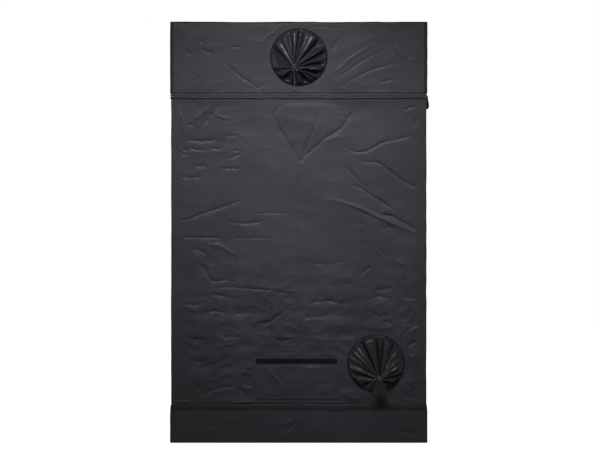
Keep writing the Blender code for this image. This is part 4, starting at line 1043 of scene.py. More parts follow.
def port_pull(x, z, port, seed):
    """Fine folds that run away from a port's rim."""
    distance = np.hypot(x - port[0], z - port[1]) - PORT_RADIUS
    turn = np.arctan2(z - port[1], x - port[0])
    rays = sum(share * np.cos(count * turn + shift * seed) for count, share, shift in PORT_RAYS)
    return RAY_HEIGHT * rays * np.exp(-np.maximum(distance, 0.0) / RAY_REACH)


def pinched(x, z, across, up, seed):
    """Unevenness with sharp, wandering lines, as thin cloth has where it was folded away."""
    return 1.0 - PINCH_DEPTH * np.abs(ripple(x, z, across, up, seed))


def uneven(x, z, seed, layers, share=1.0, lift=0.0):
    """A lift with layers of unevenness added to it, all at the same share of their height."""
    patterns = {"even": ripple, "pinched": pinched}
    for pattern, height, across, up, change in layers:
        lift = lift + share * height * patterns[pattern](x, z, across, up, seed + change)
    return lift


def loose_cloth(x, z, seed):
    """The soft unevenness that all the cloth has, from wide to fine."""
    return uneven(x, z, seed, LOOSE_LAYERS)


def wall_face(z):
    """The face of a wall without its unevenness: upright, and flared where it meets the long zip."""
    return WALL_FACE + (HEM_FACE - WALL_FACE) * np.clip(1 - (WALL_TOP - z) / FLARE_LENGTH, 0.0, 1.0)


def wall_relief(side):
    """The face of a wall with a low vent, held flat at posts, skirt, zip, flap and port."""
    seed = 10 * (1 + SIDES.index(side))
    ported = side == "rear"
    head = WALL_TOP - (ZIP_FLAT if ported else SIDE_ZIP_FLAT)

    def relief(x, z):
        lift = wall_creases(side, x, z) + loose_cloth(x, z, seed)
        slack = np.exp(-(((z - SLACK_LEVEL) / SLACK_REACH) ** 2))
        lift = uneven(x, z, seed, SLACK_LAYERS, slack, lift)
        beside = (x - PULLED_PLACE[0]) / PULLED_REACH[0]
        above = (z - PULLED_PLACE[1]) / PULLED_REACH[1]
        lift = uneven(x, z, seed, PULLED_LAYERS, np.exp(-(beside**2) - above**2), lift)
        lift = uneven(x, z, seed, WALL_HEAD_LAYERS, np.exp((z - WALL_TOP) / EDGE_FADE), lift)
        if ported:
            lift = lift + port_pull(x, z, LOWER_PORT, seed)
        lift = lift * seated_edges(x, WALL_FACE)
        lift = lift * smooth_step((z - SKIRT_TOP) / WALL_FADE) * smooth_step((head - z) / WALL_FADE)
        if ported:
            lift = lift + crease_relief(x, z, SEAM_CREASES, photo_place)
        calm = outside_flap(x, z, vent_offset(side))
        if ported:
            calm = calm * outside_port(x, z, LOWER_PORT)
        return wall_face(z) + lift * calm

    return relief


def vent_offset(side):
    """How far the middle of a side's low vent is from the middle of the side."""
    return REAR_VENT_OFFSET if side == "rear" else 0.0


def beyond_hole(x, z, port):
    """Whether a place is outside the round hole of a port."""
    return np.hypot(x - port[0], z - port[1]) > PORT_HOLE


def vent_opening(offset):
    """Sides and levels of the screened opening under a flap."""
    half = VENT_HALF_WIDTH - FLAP_MARGIN
    return offset - half, offset + half, FLAP_BOTTOM + FLAP_MARGIN, FLAP_TOP - STRIP_HEIGHT


def beside_vent(x, z, offset):
    low_x, high_x, low_z, high_z = vent_opening(offset)
    return (x < low_x) | (x > high_x) | (z < low_z) | (z > high_z)


def onto_hole(port, step):
    """Moves the places next to a port's round hole onto its edge."""

    def snap(x, z):
        distance = np.hypot(x - port[0], z - port[1])
        near = np.abs(distance - PORT_HOLE) < step * 0.75
        scale = np.where(near, PORT_HOLE / np.maximum(distance, step), 1.0)
        return port[0] + (x - port[0]) * scale, port[1] + (z - port[1]) * scale

    return snap


def grid_step(side):
    """Mesh size of the cloth on one side, finest where the photograph shows it."""
    return settings().fine_grid if side == "rear" else settings().coarse_grid


def build_vented_wall(side, finishes):
    """One of the three walls with a low vent; the one in view has the lower duct port too."""
    offset = vent_offset(side)
    half = side_span(side, WALL_FACE)
    step = grid_step(side)
    low_x, high_x, low_z, high_z = vent_opening(offset)
    across = grid_lines(-half, half, step, low_x, high_x)
    up = grid_lines(WALL_BOTTOM, WALL_TOP, step, low_z, high_z, WALL_TOP - FLARE_LENGTH)

    def keep(x, z):
        kept = beside_vent(x, z, offset)
        return kept & beyond_hole(x, z, LOWER_PORT) if side == "rear" else kept

    snap = onto_hole(LOWER_PORT, step) if side == "rear" else None
    patch = cloth_patch(side, across, up, wall_relief(side), keep, snap)
    sheet_piece(
        f"{side}_wall_cloth", f"{side}_wall", [patch], finishes, "tent",
    )


def build_walls():
    """The four cloth walls, and the bound seams between them."""
    finishes = [wall_finish(), lining_finish()]
    for side in ("rear", "right", "left"):
        build_vented_wall(side, finishes)
    build_front_wall(finishes)
    build_corner_binding()


def sheet_piece(
    name, node, patches, finishes, body, thickness=CLOTH
):
    """A piece of thin cloth with its thickness, lined where it has two finishes."""
    piece = make_piece(name, patches, finishes, body, replaces=[node])
    thicken(piece, thickness, len(finishes) > 1)


def inside_door(x, z, margin):
    """Whether a place is within the door's outline, square at the hinge and rounded at its free side."""
    low_z = DOOR_BOTTOM - margin
    high_z = DOOR_TOP + margin
    free = DOOR_HALF_WIDTH + margin
    radius = DOOR_CORNER + margin
    inside = (x > -DOOR_HALF_WIDTH) & (x < free) & (z > low_z) & (z < high_z)
    corner_z = np.clip(z, low_z + radius, high_z - radius)
    beyond = (x > free - radius) & (np.hypot(x - free + radius, z - corner_z) > radius)
    return inside & ~beyond


def front_relief(seed):
    """The face of the front side: flat under the door's zip and soft elsewhere."""

    def relief(x, z):
        lift = loose_cloth(x, z, seed) + wall_creases("front", x, z)
        edge_x = np.minimum(np.abs(x - DOOR_HALF_WIDTH), np.abs(x + DOOR_HALF_WIDTH))
        edge_z = np.minimum(np.abs(z - DOOR_BOTTOM), np.abs(z - DOOR_TOP))
        lift = lift * smooth_step((np.minimum(edge_x, edge_z) - TAPE_WIDTH) / EDGE_FADE)
        lift = lift * seated_edges(x, WALL_FACE) * smooth_step((z - SKIRT_TOP) / EDGE_FADE)
        lift = lift * smooth_step((WALL_TOP - ZIP_FLAT - z) / EDGE_FADE)
        return wall_face(z) + lift

    return relief


def build_front_wall(finishes):
    """The wall round the door."""
    step = settings().coarse_grid
    opening = DOOR_HALF_WIDTH + CLOTH_SETBACK
    across = grid_lines(-WALL_FACE, WALL_FACE, step, -DOOR_HALF_WIDTH, opening)
    levels = (DOOR_BOTTOM - CLOTH_SETBACK, DOOR_TOP + CLOTH_SETBACK, WALL_TOP - FLARE_LENGTH)
    up = grid_lines(WALL_BOTTOM, WALL_TOP, step, *levels)

    def keep(x, z):
        return ~inside_door(x, z, CLOTH_SETBACK)

    patch = cloth_patch("front", across, up, front_relief(60), keep)
    sheet_piece(
        "front_wall_cloth", "front_wall", [patch], finishes, "tent",
    )


def wavy_line(start, end, seed, wander=SEAM_WANDER):
    """A nearly straight seam line that wanders a little: how far, and in what steps."""
    reach, step = wander
    start, end = Vector(start), Vector(end)
    count = max(2, round((end - start).length / step))
    chance = np.random.default_rng(seed)
    drift = [Vector(chance.uniform(-reach, reach, 3)) for _ in range(count + 1)]
    return [start.lerp(end, i / count) + drift[i] for i in range(count + 1)]


def corner_places(face):
    return ((-face, -face), (face, -face), (face, face), (-face, face))


def corner_lines(face, low, high, seed, wander=SEAM_WANDER):
    """The lines of the seams up the four corners."""
    corners = enumerate(corner_places(face))
    return [wavy_line((x, y, low), (x, y, high), seed + index, wander) for index, (x, y) in corners]


def edge_lines(face, level, seed, wander=SEAM_WANDER):
    """The lines of the seams along the four sides, at one level."""
    places = corner_places(face)
    ends = enumerate(zip(places, places[1:] + places[:1]))
    return [wavy_line((*near, level), (*far, level), seed + index, wander) for index, (near, far) in ends]


def build_corner_binding():
    """Bound seams where the walls meet, over each post."""
    low = SKIRT_TOP - WALL_BINDING_LAP
    high = WALL_TOP - FLARE_LENGTH / 2
    lines = corner_lines(WALL_FACE - WALL_BINDING_INSET, low, high, 80, WALL_CORNER_WANDER)
    patches = [tube_patch(line, settings().binding_radius) for line in lines]
    make_piece("wall_corner_binding", patches, [binding_finish()], "tent")


def side_span(side, face):
    """Half the width of a side's cloth: the right and left ones fit between the other two."""
    return face if side in ("rear", "front") else face - CLOTH - SEAM_GAP


def stitch_row(side, start, end, face):
    """Stitches along a straight seam, from start to end as across and up."""
    start, end = np.array(start), np.array(end)
    length = np.linalg.norm(end - start)
    run = (end - start) / length
    steps = np.arange(STITCH_PITCH / 2, length, STITCH_PITCH)
    places = start + steps[:, None] * run
    along = np.tile(on_side(side, run[0], 0.0, run[1]), (len(steps), 1))
    across = np.tile(on_side(side, -run[1], 0.0, run[0]), (len(steps), 1))
    out = np.tile(on_side(side, 0.0, 1.0, 0.0), (len(steps), 1))
    middles = on_side(side, places[:, 0], np.full(len(steps), face), places[:, 1])
    return box_patch(middles, along, across, out, (STITCH_LENGTH, STITCH_WIDTH, STITCH_WIDTH))


def skirt_seam(side):
    """A dark band along the seam between a wall and the skirt: painted shade of the lap seam."""
    half = side_span(side, SKIRT_LIP)
    low = SKIRT_TOP - SEAM_SHADE_WIDTH
    lean = (TENT_FACE - SKIRT_LIP) * (low - SKIRT_TOP + SKIRT_LEAN) / SKIRT_LEAN
    foot = TENT_FACE - SKIRT_SETBACK - lean
    across = grid_lines(-half, half, SEAM_SHADE_STEP)
    lower = on_side(side, across, np.full_like(across, foot), np.full_like(across, low))
    head = np.full_like(across, SKIRT_LIP - SKIRT_SETBACK)
    upper = on_side(side, across, head, np.full_like(across, SKIRT_TOP))
    outs = np.tile(on_side(side, 0.0, 1.0, 0.0), (len(across), 1))
    rise = uneven(across, across, 440, SEAM_SHADE_LAYERS, lift=SEAM_SHADE_RISE)[:, None]
    points = np.stack([lower, upper, upper + outs * rise, lower + outs * rise], axis=1)
    return points.reshape(-1, 3), quads_of(len(across), 4, True)


def build_stitching():
    """Rows of stitches beside the bound edges, the zip and the skirt."""
    tent, cap = [], []
    uprights = (
        (cap, TOP_HEM + STITCH_START, TENT_HEIGHT - CAP_STITCH_END, TENT_FACE + CAP_STITCH_PROUD),
        (tent, SKIRT_TOP + STITCH_START, WALL_TOP - FLARE_LENGTH, WALL_FACE),
    )
    levels = (
        (cap, TOP_HEM + HEM_STITCH_RISE, TENT_FACE),
        (cap, TENT_HEIGHT - ROOF_STITCH_DROP, TENT_FACE),
        (tent, SKIRT_TOP - SKIRT_STITCH_DROP, SKIRT_LIP + SKIRT_STITCH_PROUD),
        (tent, ZIP_LEVEL - TAPE_WIDTH - ZIP_STITCH_DROP, HEM_FACE - ZIP_STITCH_INSET),
    )
    for side in SIDES:
        edge = side_span(side, TENT_FACE) - EDGE_ALLOWANCE
        for rows, low, high, face in uprights:
            for hand in (-edge, edge):
                rows.append(stitch_row(side, (hand, low), (hand, high), face))
        for rows, level, face in levels:
            rows.append(stitch_row(side, (-edge, level), (edge, level), face))
    make_piece("cap_stitching", cap, [stitch_finish()], "cap", False)
    make_piece("wall_stitching", tent, [stitch_finish()], "tent", False)
    # Dark bands of painted shade along the skirt's seams
    seams = [skirt_seam(side) for side in SIDES]
    make_piece("skirt_seam_tape", seams, [hem_and_shade_finish()], "tent", False)


def cap_relief(side, seed):
    """The face of one side of the top section, held flat at its edges and at the port."""

    def relief(x, z):
        lift = loose_cloth(x, z, seed) * CAP_LOOSE_SHARE
        lift = uneven(x, z, seed, CAP_FOOT_LAYERS, np.exp((TOP_HEM - z) / CAP_FOOT_FADE), lift)
        if side == "rear":
            lift = lift + crease_relief(x, z, CAP_CREASES, photo_place)
            lift = lift + port_pull(x, z, UPPER_PORT, seed)
            lift = lift * outside_port(x, z, UPPER_PORT)
        lift = lift * seated_edges(x, TENT_FACE) * smooth_step((z - TOP_HEM) / CAP_FOOT_FADE)
        return TENT_FACE - CAP_SETBACK + lift * smooth_step((TENT_HEIGHT - z) / WALL_FADE)

    return relief


def cap_side(side, seed):
    """The cloth of one side of the top section, with the upper duct port's hole in the one in view."""
    step = grid_step(side)
    half = side_span(side, TENT_FACE)
    across = grid_lines(-half, half, step)
    up = grid_lines(TOP_HEM, TENT_HEIGHT - CAP_TOP_GAP, step)
    if side != "rear":
        return cloth_patch(side, across, up, cap_relief(side, seed))

    def keep(x, z):
        return beyond_hole(x, z, UPPER_PORT)

    return cloth_patch(side, across, up, cap_relief(side, seed), keep, onto_hole(UPPER_PORT, step))


def build_cap():
    """The top section: four short sides and the roof, sewn at bound edges."""
    patches = [cap_side(side, 100 + 10 * number) for number, side in enumerate(SIDES)]
    patches.append(roof_patch(settings().coarse_grid))
    finishes = [wall_finish(), lining_finish()]
    sheet_piece(
        "top_section_cloth", "top_section", patches, finishes, "cap",
    )
    build_cap_binding()


def roof_patch(step):
    """The roof, which sags a little between its poles."""
    half = TENT_FACE - CLOTH
    lines = grid_lines(-half, half, step)
    x, y = np.meshgrid(lines, lines)
    inner = smooth_step((half - ROOF_FLAT - np.maximum(np.abs(x), np.abs(y))) / ROOF_FADE)
    sag = uneven(x, y, 150, ROOF_LAYERS, lift=ROOF_SAG)
    points = np.stack([x, y, TENT_HEIGHT - sag * inner], -1).reshape(-1, 3)
    return points, quads_of(*x.shape)


def corner_tapes(low, high, face):
    """Flat tape folded over each upright corner, as a strip on either side of it."""
    patches = []
    for side in SIDES:
        half = side_span(side, face)
        outs = np.array([on_side(side, 0.0, 1.0, 0.0)] * 2)
        for hand in (-1, 1):
            places = np.array([on_side(side, hand * half, face, level) for level in (low, high)])
            inwards = np.array([on_side(side, -float(hand), 0.0, 0.0)] * 2)
            reach = (CORNER_TAPE_INSET, CORNER_TAPE_WIDTH)
            patches.append(band_patch(places, inwards, outs, *reach, 0.0, CORNER_TAPE, False))
    return patches


def build_cap_binding():
    """Bound edges and corner tapes of the top section."""
    face = TENT_FACE - BINDING_INSET
    top = TENT_HEIGHT - BINDING_INSET
    corners = corner_lines(face, TOP_HEM, top, 160, CAP_CORNER_WANDER)
    edges = edge_lines(face, top, 170, CAP_EDGE_WANDER)
    patches = [tube_patch(line, settings().binding_radius) for line in corners + edges]
    make_piece("cap_edge_binding", patches, [binding_finish()], "cap")
    tapes = corner_tapes(TOP_HEM + BINDING_INSET, top, TENT_FACE + CORNER_TAPE_PROUD)
    make_piece("cap_corner_tape", tapes, [hem_and_shade_finish()], "cap", False)


def skirt_relief(side, seed):
    """The face of one side of the skirt, which leans in to its seam with the wall."""

    def relief(x, z):
        lean = (TENT_FACE - SKIRT_LIP) * np.clip((z - SKIRT_TOP + SKIRT_LEAN) / SKIRT_LEAN, 0.0, 1.0)
        lift = uneven(x, z, seed, SKIRT_LAYERS, lift=SKIRT_LOOSE_SHARE * loose_cloth(x, z, seed))
        if side == "rear":
            lift = lift + crease_relief(x, z, SKIRT_CREASES, photo_place)
        lift = lift * smooth_step(z / EDGE_FADE) * smooth_step((SKIRT_TOP - z) / EDGE_FADE)
        return TENT_FACE - SKIRT_SETBACK - lean + lift * seated_edges(x, TENT_FACE)

    return relief


def level_patch(half, level, step):
    """A level sheet of cloth that faces down."""
    lines = grid_lines(-half, half, step)
    x, y = np.meshgrid(lines, lines)
    return np.stack([x, y, np.full_like(x, level)], -1).reshape(-1, 3), quads_of(*x.shape)[:, ::-1]


def build_floor():
    """Floor pan with its skirt, and the spill tray that lifts out."""
    patches = []
    for number, side in enumerate(SIDES):
        step = grid_step(side)
        half = side_span(side, SKIRT_LIP)
        across = grid_lines(-half, half, step)
        up = grid_lines(SKIRT_FOOT, SKIRT_TOP, step, SKIRT_TOP - SKIRT_LEAN)
        relief = skirt_relief(side, 200 + 10 * number)
        patches.append(cloth_patch(side, across, up, relief))
    patches.append(level_patch(TENT_FACE - CLOTH, 0.0, settings().coarse_grid * FLOOR_GRID_SCALE))
    finishes = [floor_finish(), lining_finish()]
    sheet_piece(
        "floor_pan_cloth", "floor_pan", patches, finishes, "tent",
    )
    build_pan_binding()
    build_tray()


def build_pan_binding():
    """Bound edges of the floor and of its skirt's corners."""
    radius = settings().binding_radius
    face = TENT_FACE - BINDING_INSET
    low = radius + SEAM_GAP
    corners = corner_lines(face, low, SKIRT_TOP - SKIRT_LEAN, 270)
    for line, place in zip(corners, corner_places(SKIRT_LIP - WALL_BINDING_INSET)):
        line.append(Vector((*place, SKIRT_TOP)))
    patches = [tube_patch(line, radius) for line in edge_lines(face, low, 260) + corners]
    make_piece("floor_edge_binding", patches, [binding_finish()], "tent")


def tray_side(side, seed, step):
    """The cloth of one side of the spill tray."""
    half = side_span(side, TRAY_FACE)

    def relief(x, z):
        return TRAY_FACE - TRAY_SETBACK + uneven(x, z, seed, TRAY_LAYERS) * seated_edges(x, TRAY_FACE)

    up = grid_lines(TRAY_BOTTOM, TRAY_BOTTOM + TRAY_DEPTH, step)
    return cloth_patch(side, grid_lines(-half, half, step), up, relief)


def build_tray():
    """The spill tray and its bound rim."""
    step = settings().coarse_grid * TRAY_GRID_SCALE
    top = TRAY_BOTTOM + TRAY_DEPTH
    patches = [tray_side(side, 300 + number, step) for number, side in enumerate(SIDES)]
    patches.append(level_patch(TRAY_FACE - CLOTH, TRAY_BOTTOM, step))
    finishes = [binding_finish(), lining_finish()]
    sheet_piece(
        "spill_tray_cloth", "floor_tray", patches, finishes, "spill_tray",
        TRAY_CLOTH,
    )
    places = corner_places(TRAY_FACE - BINDING_INSET)
    rim = []
    for near, far in zip(places, places[1:] + places[:1]):
        line = wavy_line((*near, top), (*far, top), 310)
        rim.append(tube_patch(line, TRAY_RIM_RADIUS, THIN_TUBE_SIDES))
    make_piece("spill_tray_rim", rim, [binding_finish()], "spill_tray")


def zip_run(places, closed):
    """Places and directions every tooth along a zip's line."""
    ends = places + places[:1] if closed else places
    middles, along = [], []
    left_over = TOOTH_PITCH / 2
    for start, end in zip(ends, ends[1:]):
        run = end - start
        while left_over < run.length:
            middles.append(start + run.normalized() * left_over)
            along.append(run.normalized())
            left_over += TOOTH_PITCH
        left_over -= run.length
    return np.array(middles), np.array(along)


def zip_half(name, places, sides, outs, side_of, out_of, sign, closed, body, node):
    """One tape of a zip with its row of teeth; sign says on which side of the line it lies."""
    tape = band_patch(
        np.array(places), np.array(sides) * sign, np.array(outs),
        SEAM_GAP + TOOTH_WIDTH / 3, TAPE_WIDTH, SEAM_GAP, SEAM_GAP + TAPE_THICKNESS, closed,
    )
    middles, along = zip_run([Vector(place) for place in places], closed)
    across = np.array([side_of(step) for step in along]) * sign
    out = np.array([out_of(step) for step in along])
    shift = TOOTH_PITCH / 4 * sign
    rise = SEAM_GAP + TOOTH_RISE / 2
    centres = middles + along * shift + across * (TOOTH_WIDTH / 2 - SEAM_GAP) + out * rise
    sizes = (TOOTH_LENGTH * TOOTH_LENGTH_SHARE, TOOTH_WIDTH, TOOTH_RISE)
    teeth = box_patch(centres, along, across, out, sizes)
    patches = [tape, (*teeth, 1)]
    return make_piece(name, patches, [tape_finish(), teeth_finish()], body, False, [node])


def build_extension_zip():
    """The zip that runs round the tent between the walls and the top section."""
    places = [(x, y, ZIP_LEVEL) for x, y in corner_places(HEM_FACE)]
    outs = [(math.copysign(1, x), math.copysign(1, y), 0) for x, y, _ in places]
    sides = [(0, 0, 1)] * 4

    def side_of(along):
        return Vector((0, 0, 1))

    def out_of(along):
        return Vector((along[1], -along[0], 0))

    for name, sign, body in (("lower", -1, "tent"), ("upper", 1, "cap")):
        zip_half(
            f"extension_zip_{name}_tape", places, sides, outs, side_of, out_of,
            sign, True, body, f"extension_zip_{name}",
        )
    build_zip_hems()


def build_zip_hems():
    """Rolled hems along both edges of the zip; their darker finish is painted shade for the lines beside it.
    """
    tent_level = ZIP_LEVEL - TAPE_WIDTH + TENT_HEM_RISE
    for body, level, face, seed, radius in (
        ("tent", tent_level, HEM_FACE + TENT_HEM_PROUD, 400, TENT_HEM_RADIUS),
        ("cap", TOP_HEM + CAP_HEM_RISE, TENT_FACE - CAP_HEM_INSET, 410, CAP_HEM_RADIUS),
    ):
        patches = [tube_patch(line, radius, THIN_TUBE_SIDES) for line in edge_lines(face, level, seed)]
        make_piece(f"zip_hem_{body}", patches, [hem_and_shade_finish()], body)


def door_line(outset, arcs=10):
    """The door zip's line on the front side, as across and up."""
    free = DOOR_HALF_WIDTH + outset
    low = DOOR_BOTTOM - outset
    high = DOOR_TOP + outset
    radius = DOOR_CORNER + outset
    start = -DOOR_HALF_WIDTH + DOOR_TAPE_START
    line = [(start, low)]
    for middle_z, first in ((low + radius, -math.pi / 2), (high - radius, 0.0)):
        for step in range(arcs + 1):
            turn = first + math.pi / 2 * step / arcs
            line.append((free - radius + radius * math.cos(turn), middle_z + radius * math.sin(turn)))
    line.append((start, high))
    return line


def build_door_zip():
    """The zip round three sides of the door."""
    flat = door_line(0.0)
    places = [tuple(on_side("front", x, WALL_FACE, z)) for x, z in flat]
    sides = []
    for before, after in zip(flat[:1] + flat[:-1], flat[1:] + flat[-1:]):
        run = (Vector(after) - Vector(before)).normalized()
        sides.append((-run.y, 0, -run.x))
    outs = [(0, 1, 0)] * len(places)

    def side_of(along):
        return Vector((-along[2], 0, along[0]))

    def out_of(along):
        return Vector((0, 1, 0))

    for name, sign, body in (("wall", 1, "tent"), ("door", -1, "door")):
        zip_half(
            f"door_zip_{name}_tape", places, sides, outs, side_of, out_of,
            sign, False, body, f"door_zip_{name}_side",
        )


def door_relief(x, z):
    """The face of the door: flat round its window, and like the wall elsewhere."""
    lift = front_relief(70)(x, z) - WALL_FACE
    reach = WINDOW_HALF_WIDTH + WINDOW_FLAP_LAP
    beyond_z = np.abs(z - (WINDOW_BOTTOM + WINDOW_TOP) / 2) - WINDOW_SURROUND_HALF_HEIGHT
    beyond = np.maximum(np.abs(x) - reach, beyond_z)
    return WALL_FACE + lift * smooth_step(beyond / EDGE_FADE)


def build_door():
    """The door leaf with its window, and the flap that covers the window."""
    step = settings().coarse_grid
    half = DOOR_HALF_WIDTH - CLOTH_SETBACK
    across = grid_lines(-DOOR_HALF_WIDTH + SEAM_GAP, half, step, -WINDOW_HALF_WIDTH, WINDOW_HALF_WIDTH)
    up = grid_lines(DOOR_BOTTOM + CLOTH_SETBACK, DOOR_TOP - CLOTH_SETBACK, step, WINDOW_BOTTOM, WINDOW_TOP)

    def keep(x, z):
        beside_window = (np.abs(x) > WINDOW_HALF_WIDTH) | (z < WINDOW_BOTTOM) | (z > WINDOW_TOP)
        return beside_window & inside_door(x, z, -CLOTH_SETBACK)

    patch = cloth_patch("front", across, up, door_relief, keep)
    finishes = [wall_finish(), lining_finish()]
    sheet_piece(
        "door_cloth", "door_panel", [patch], finishes, "door",
    )
    build_pane(step)
    build_window_flap(step)


def build_pane(step):
    """The clear sheet behind the window's opening."""
    reach = WINDOW_HALF_WIDTH + PANE_LAP
    across = grid_lines(-reach, reach, step)
    up = grid_lines(WINDOW_BOTTOM - PANE_LAP, WINDOW_TOP + PANE_LAP, step)

    def relief(x, z):
        face = WALL_FACE - CLOTH - 2 * SEAM_GAP - PANE_SETBACK
        return uneven(x, z, 500, PANE_LAYERS, lift=face)

    patch = cloth_patch("front", across, up, relief)
    sheet_piece(
        "window_pane_sheet", "window_pane", [patch], [pane_finish()], "door",
        PANE_SHEET,
    )


def build_window_flap(step):
    """The flap that covers the window, with its bound edge."""
    half = WINDOW_HALF_WIDTH + WINDOW_FLAP_LAP
    low = WINDOW_BOTTOM - WINDOW_FLAP_LAP
    high = WINDOW_TOP + WINDOW_FLAP_LAP

    def relief(x, z):
        middle = 1.0
        for inset in (half - np.abs(x), z - low, high - z):
            middle = middle * smooth_step(inset / WINDOW_FLAP_FADE)
        bulge = WINDOW_FLAP_BULGE + WINDOW_FLAP_LOOSE_SHARE * loose_cloth(x, z, 510)
        return WALL_FACE + SEAM_GAP + CLOTH + bulge * middle

    patch = cloth_patch("front", grid_lines(-half, half, step), grid_lines(low, high, step), relief)
    sheet_piece(
        "window_flap_cloth", "window_flap", [patch], [wall_finish(), lining_finish()], "window_flap",
    )
    corners = [(-half, low), (half, low), (half, high), (-half, high)]
    line = [tuple(on_side("front", x, WALL_FACE + WINDOW_BINDING_RISE, z)) for x, z in corners]
    patches = []
    for near, far in zip(line, line[1:] + line[:1]):
        edge = wavy_line(near, far, 520)
        patches.append(tube_patch(edge, WINDOW_BINDING_RADIUS, THIN_TUBE_SIDES))
    make_piece("window_flap_binding", patches, [binding_finish()], "window_flap")


def vent_flap_relief(side, seed):
    """The face of a low vent's flap, held along its edges and by the strip at its head."""

    def relief(x, z):
        inset = np.minimum(VENT_HALF_WIDTH - np.abs(x - vent_offset(side)), z - FLAP_BOTTOM)
        middle = smooth_step(inset / FLAP_FADE)
        middle = middle * smooth_step((FLAP_TOP - STRIP_HEIGHT - z) / EDGE_FADE)
        bulge = uneven(x, z, seed, FLAP_LAYERS, lift=FLAP_BULGE)
        if side == "rear":
            bulge = bulge + crease_relief(x, z, FLAP_CREASES, photo_place)
        return WALL_FACE + SEAM_GAP + FLAP_CLOTH + np.maximum(bulge, 0.0) * middle

    return relief


def build_vent(side):
    """A low vent: its flap, its closing strip and its screen."""
    step = settings().fine_grid
    offset = vent_offset(side)
    body = f"{side}_vent"
    seed = 600 + 10 * SIDES.index(side)
    across = grid_lines(offset - VENT_HALF_WIDTH, offset + VENT_HALF_WIDTH, step)
    patch = cloth_patch(side, across, grid_lines(FLAP_BOTTOM, FLAP_TOP, step), vent_flap_relief(side, seed))
    sheet_piece(
        f"{body}_flap_cloth", f"{body}_flap", [patch], [wall_finish(), lining_finish()], body,
        FLAP_CLOTH,
    )

    def strip_face(x, z):
        return uneven(x, z, seed, STRIP_LAYERS, lift=WALL_FACE + STRIP_RISE)

    patch = cloth_patch(side, across, grid_lines(FLAP_TOP - STRIP_HEIGHT, FLAP_TOP, step / 2), strip_face)
    sheet_piece(
        f"{body}_strip_tape", f"{body}_strip", [patch], [hook_finish()], body,
        STRIP_TAPE,
    )
    build_screen(side)


def build_vents():
    for side in ("rear", "right", "left"):
        build_vent(side)


def build_screen(side):
    """The insect screen of a vent: fine wires both ways."""
    low_x, high_x, low_z, high_z = vent_opening(vent_offset(side))
    low_x, high_x = low_x - SCREEN_LAP, high_x + SCREEN_LAP
    low_z, high_z = low_z - SCREEN_LAP, high_z + SCREEN_LAP
    face = WALL_FACE - CLOTH - SCREEN_SETBACK
    ups = grid_lines(low_z, high_z, SCREEN_PITCH)
    acrosses = grid_lines(low_x, high_x, SCREEN_PITCH)
    middle_x = np.full_like(ups, (low_x + high_x) / 2)
    middle_z = np.full_like(acrosses, (low_z + high_z) / 2)
    sideways, upwards = on_side(side, 1.0, 0.0, 0.0), on_side(side, 0.0, 0.0, 1.0)
    out = on_side(side, 0.0, 1.0, 0.0)
    patches = []
    for x, z, along, across, length, shift in (
        (middle_x, ups, sideways, upwards, high_x - low_x, 0.0),
        (acrosses, middle_z, upwards, sideways, high_z - low_z, SCREEN_WIRE / 2),
    ):
        middles = on_side(side, x, np.full_like(x, face - shift), z)
        directions = [np.tile(direction, (len(x), 1)) for direction in (along, across, out)]
        patches.append(box_patch(middles, *directions, (length, SCREEN_WIRE, SCREEN_WIRE / 2)))
    finishes = [screen_finish()]
    make_piece(f"{side}_vent_screen", patches, finishes, "tent", False, [f"{side}_vent_mesh"])


def pleat_height(turn, share, pleats, seed):
    """How far the gathered cloth stands up at an angle of the rim and a share of the way to the neck."""
    angles = [angle for angle, rise in pleats]
    rises = [rise * MILLIMETRE for angle, rise in pleats]
    bend = PLEAT_BEND * share * (1 - share) * np.sin(3 * turn + seed)
    height = np.zeros_like(turn)
    for shift, weight in PLEAT_BLUR:
        height += weight * np.interp(np.degrees(turn) + bend + shift, angles, rises, period=360)
    left = np.clip(1 - share, 0.0, 1.0)
    envelope = smooth_step(share / PLEAT_START_SHARE) * left**PLEAT_END_POWER
    wrinkles = WRINKLE_HEIGHT * np.cos(23 * turn + 3 * np.sin(2 * turn + seed))
    wrinkles = wrinkles + FINE_WRINKLE_HEIGHT * np.cos(37 * turn - seed)
    wrinkles = wrinkles * smooth_step(share / WRINKLE_START_SHARE) * left**WRINKLE_END_POWER
    return PLEAT_DEPTH * height * envelope + wrinkles


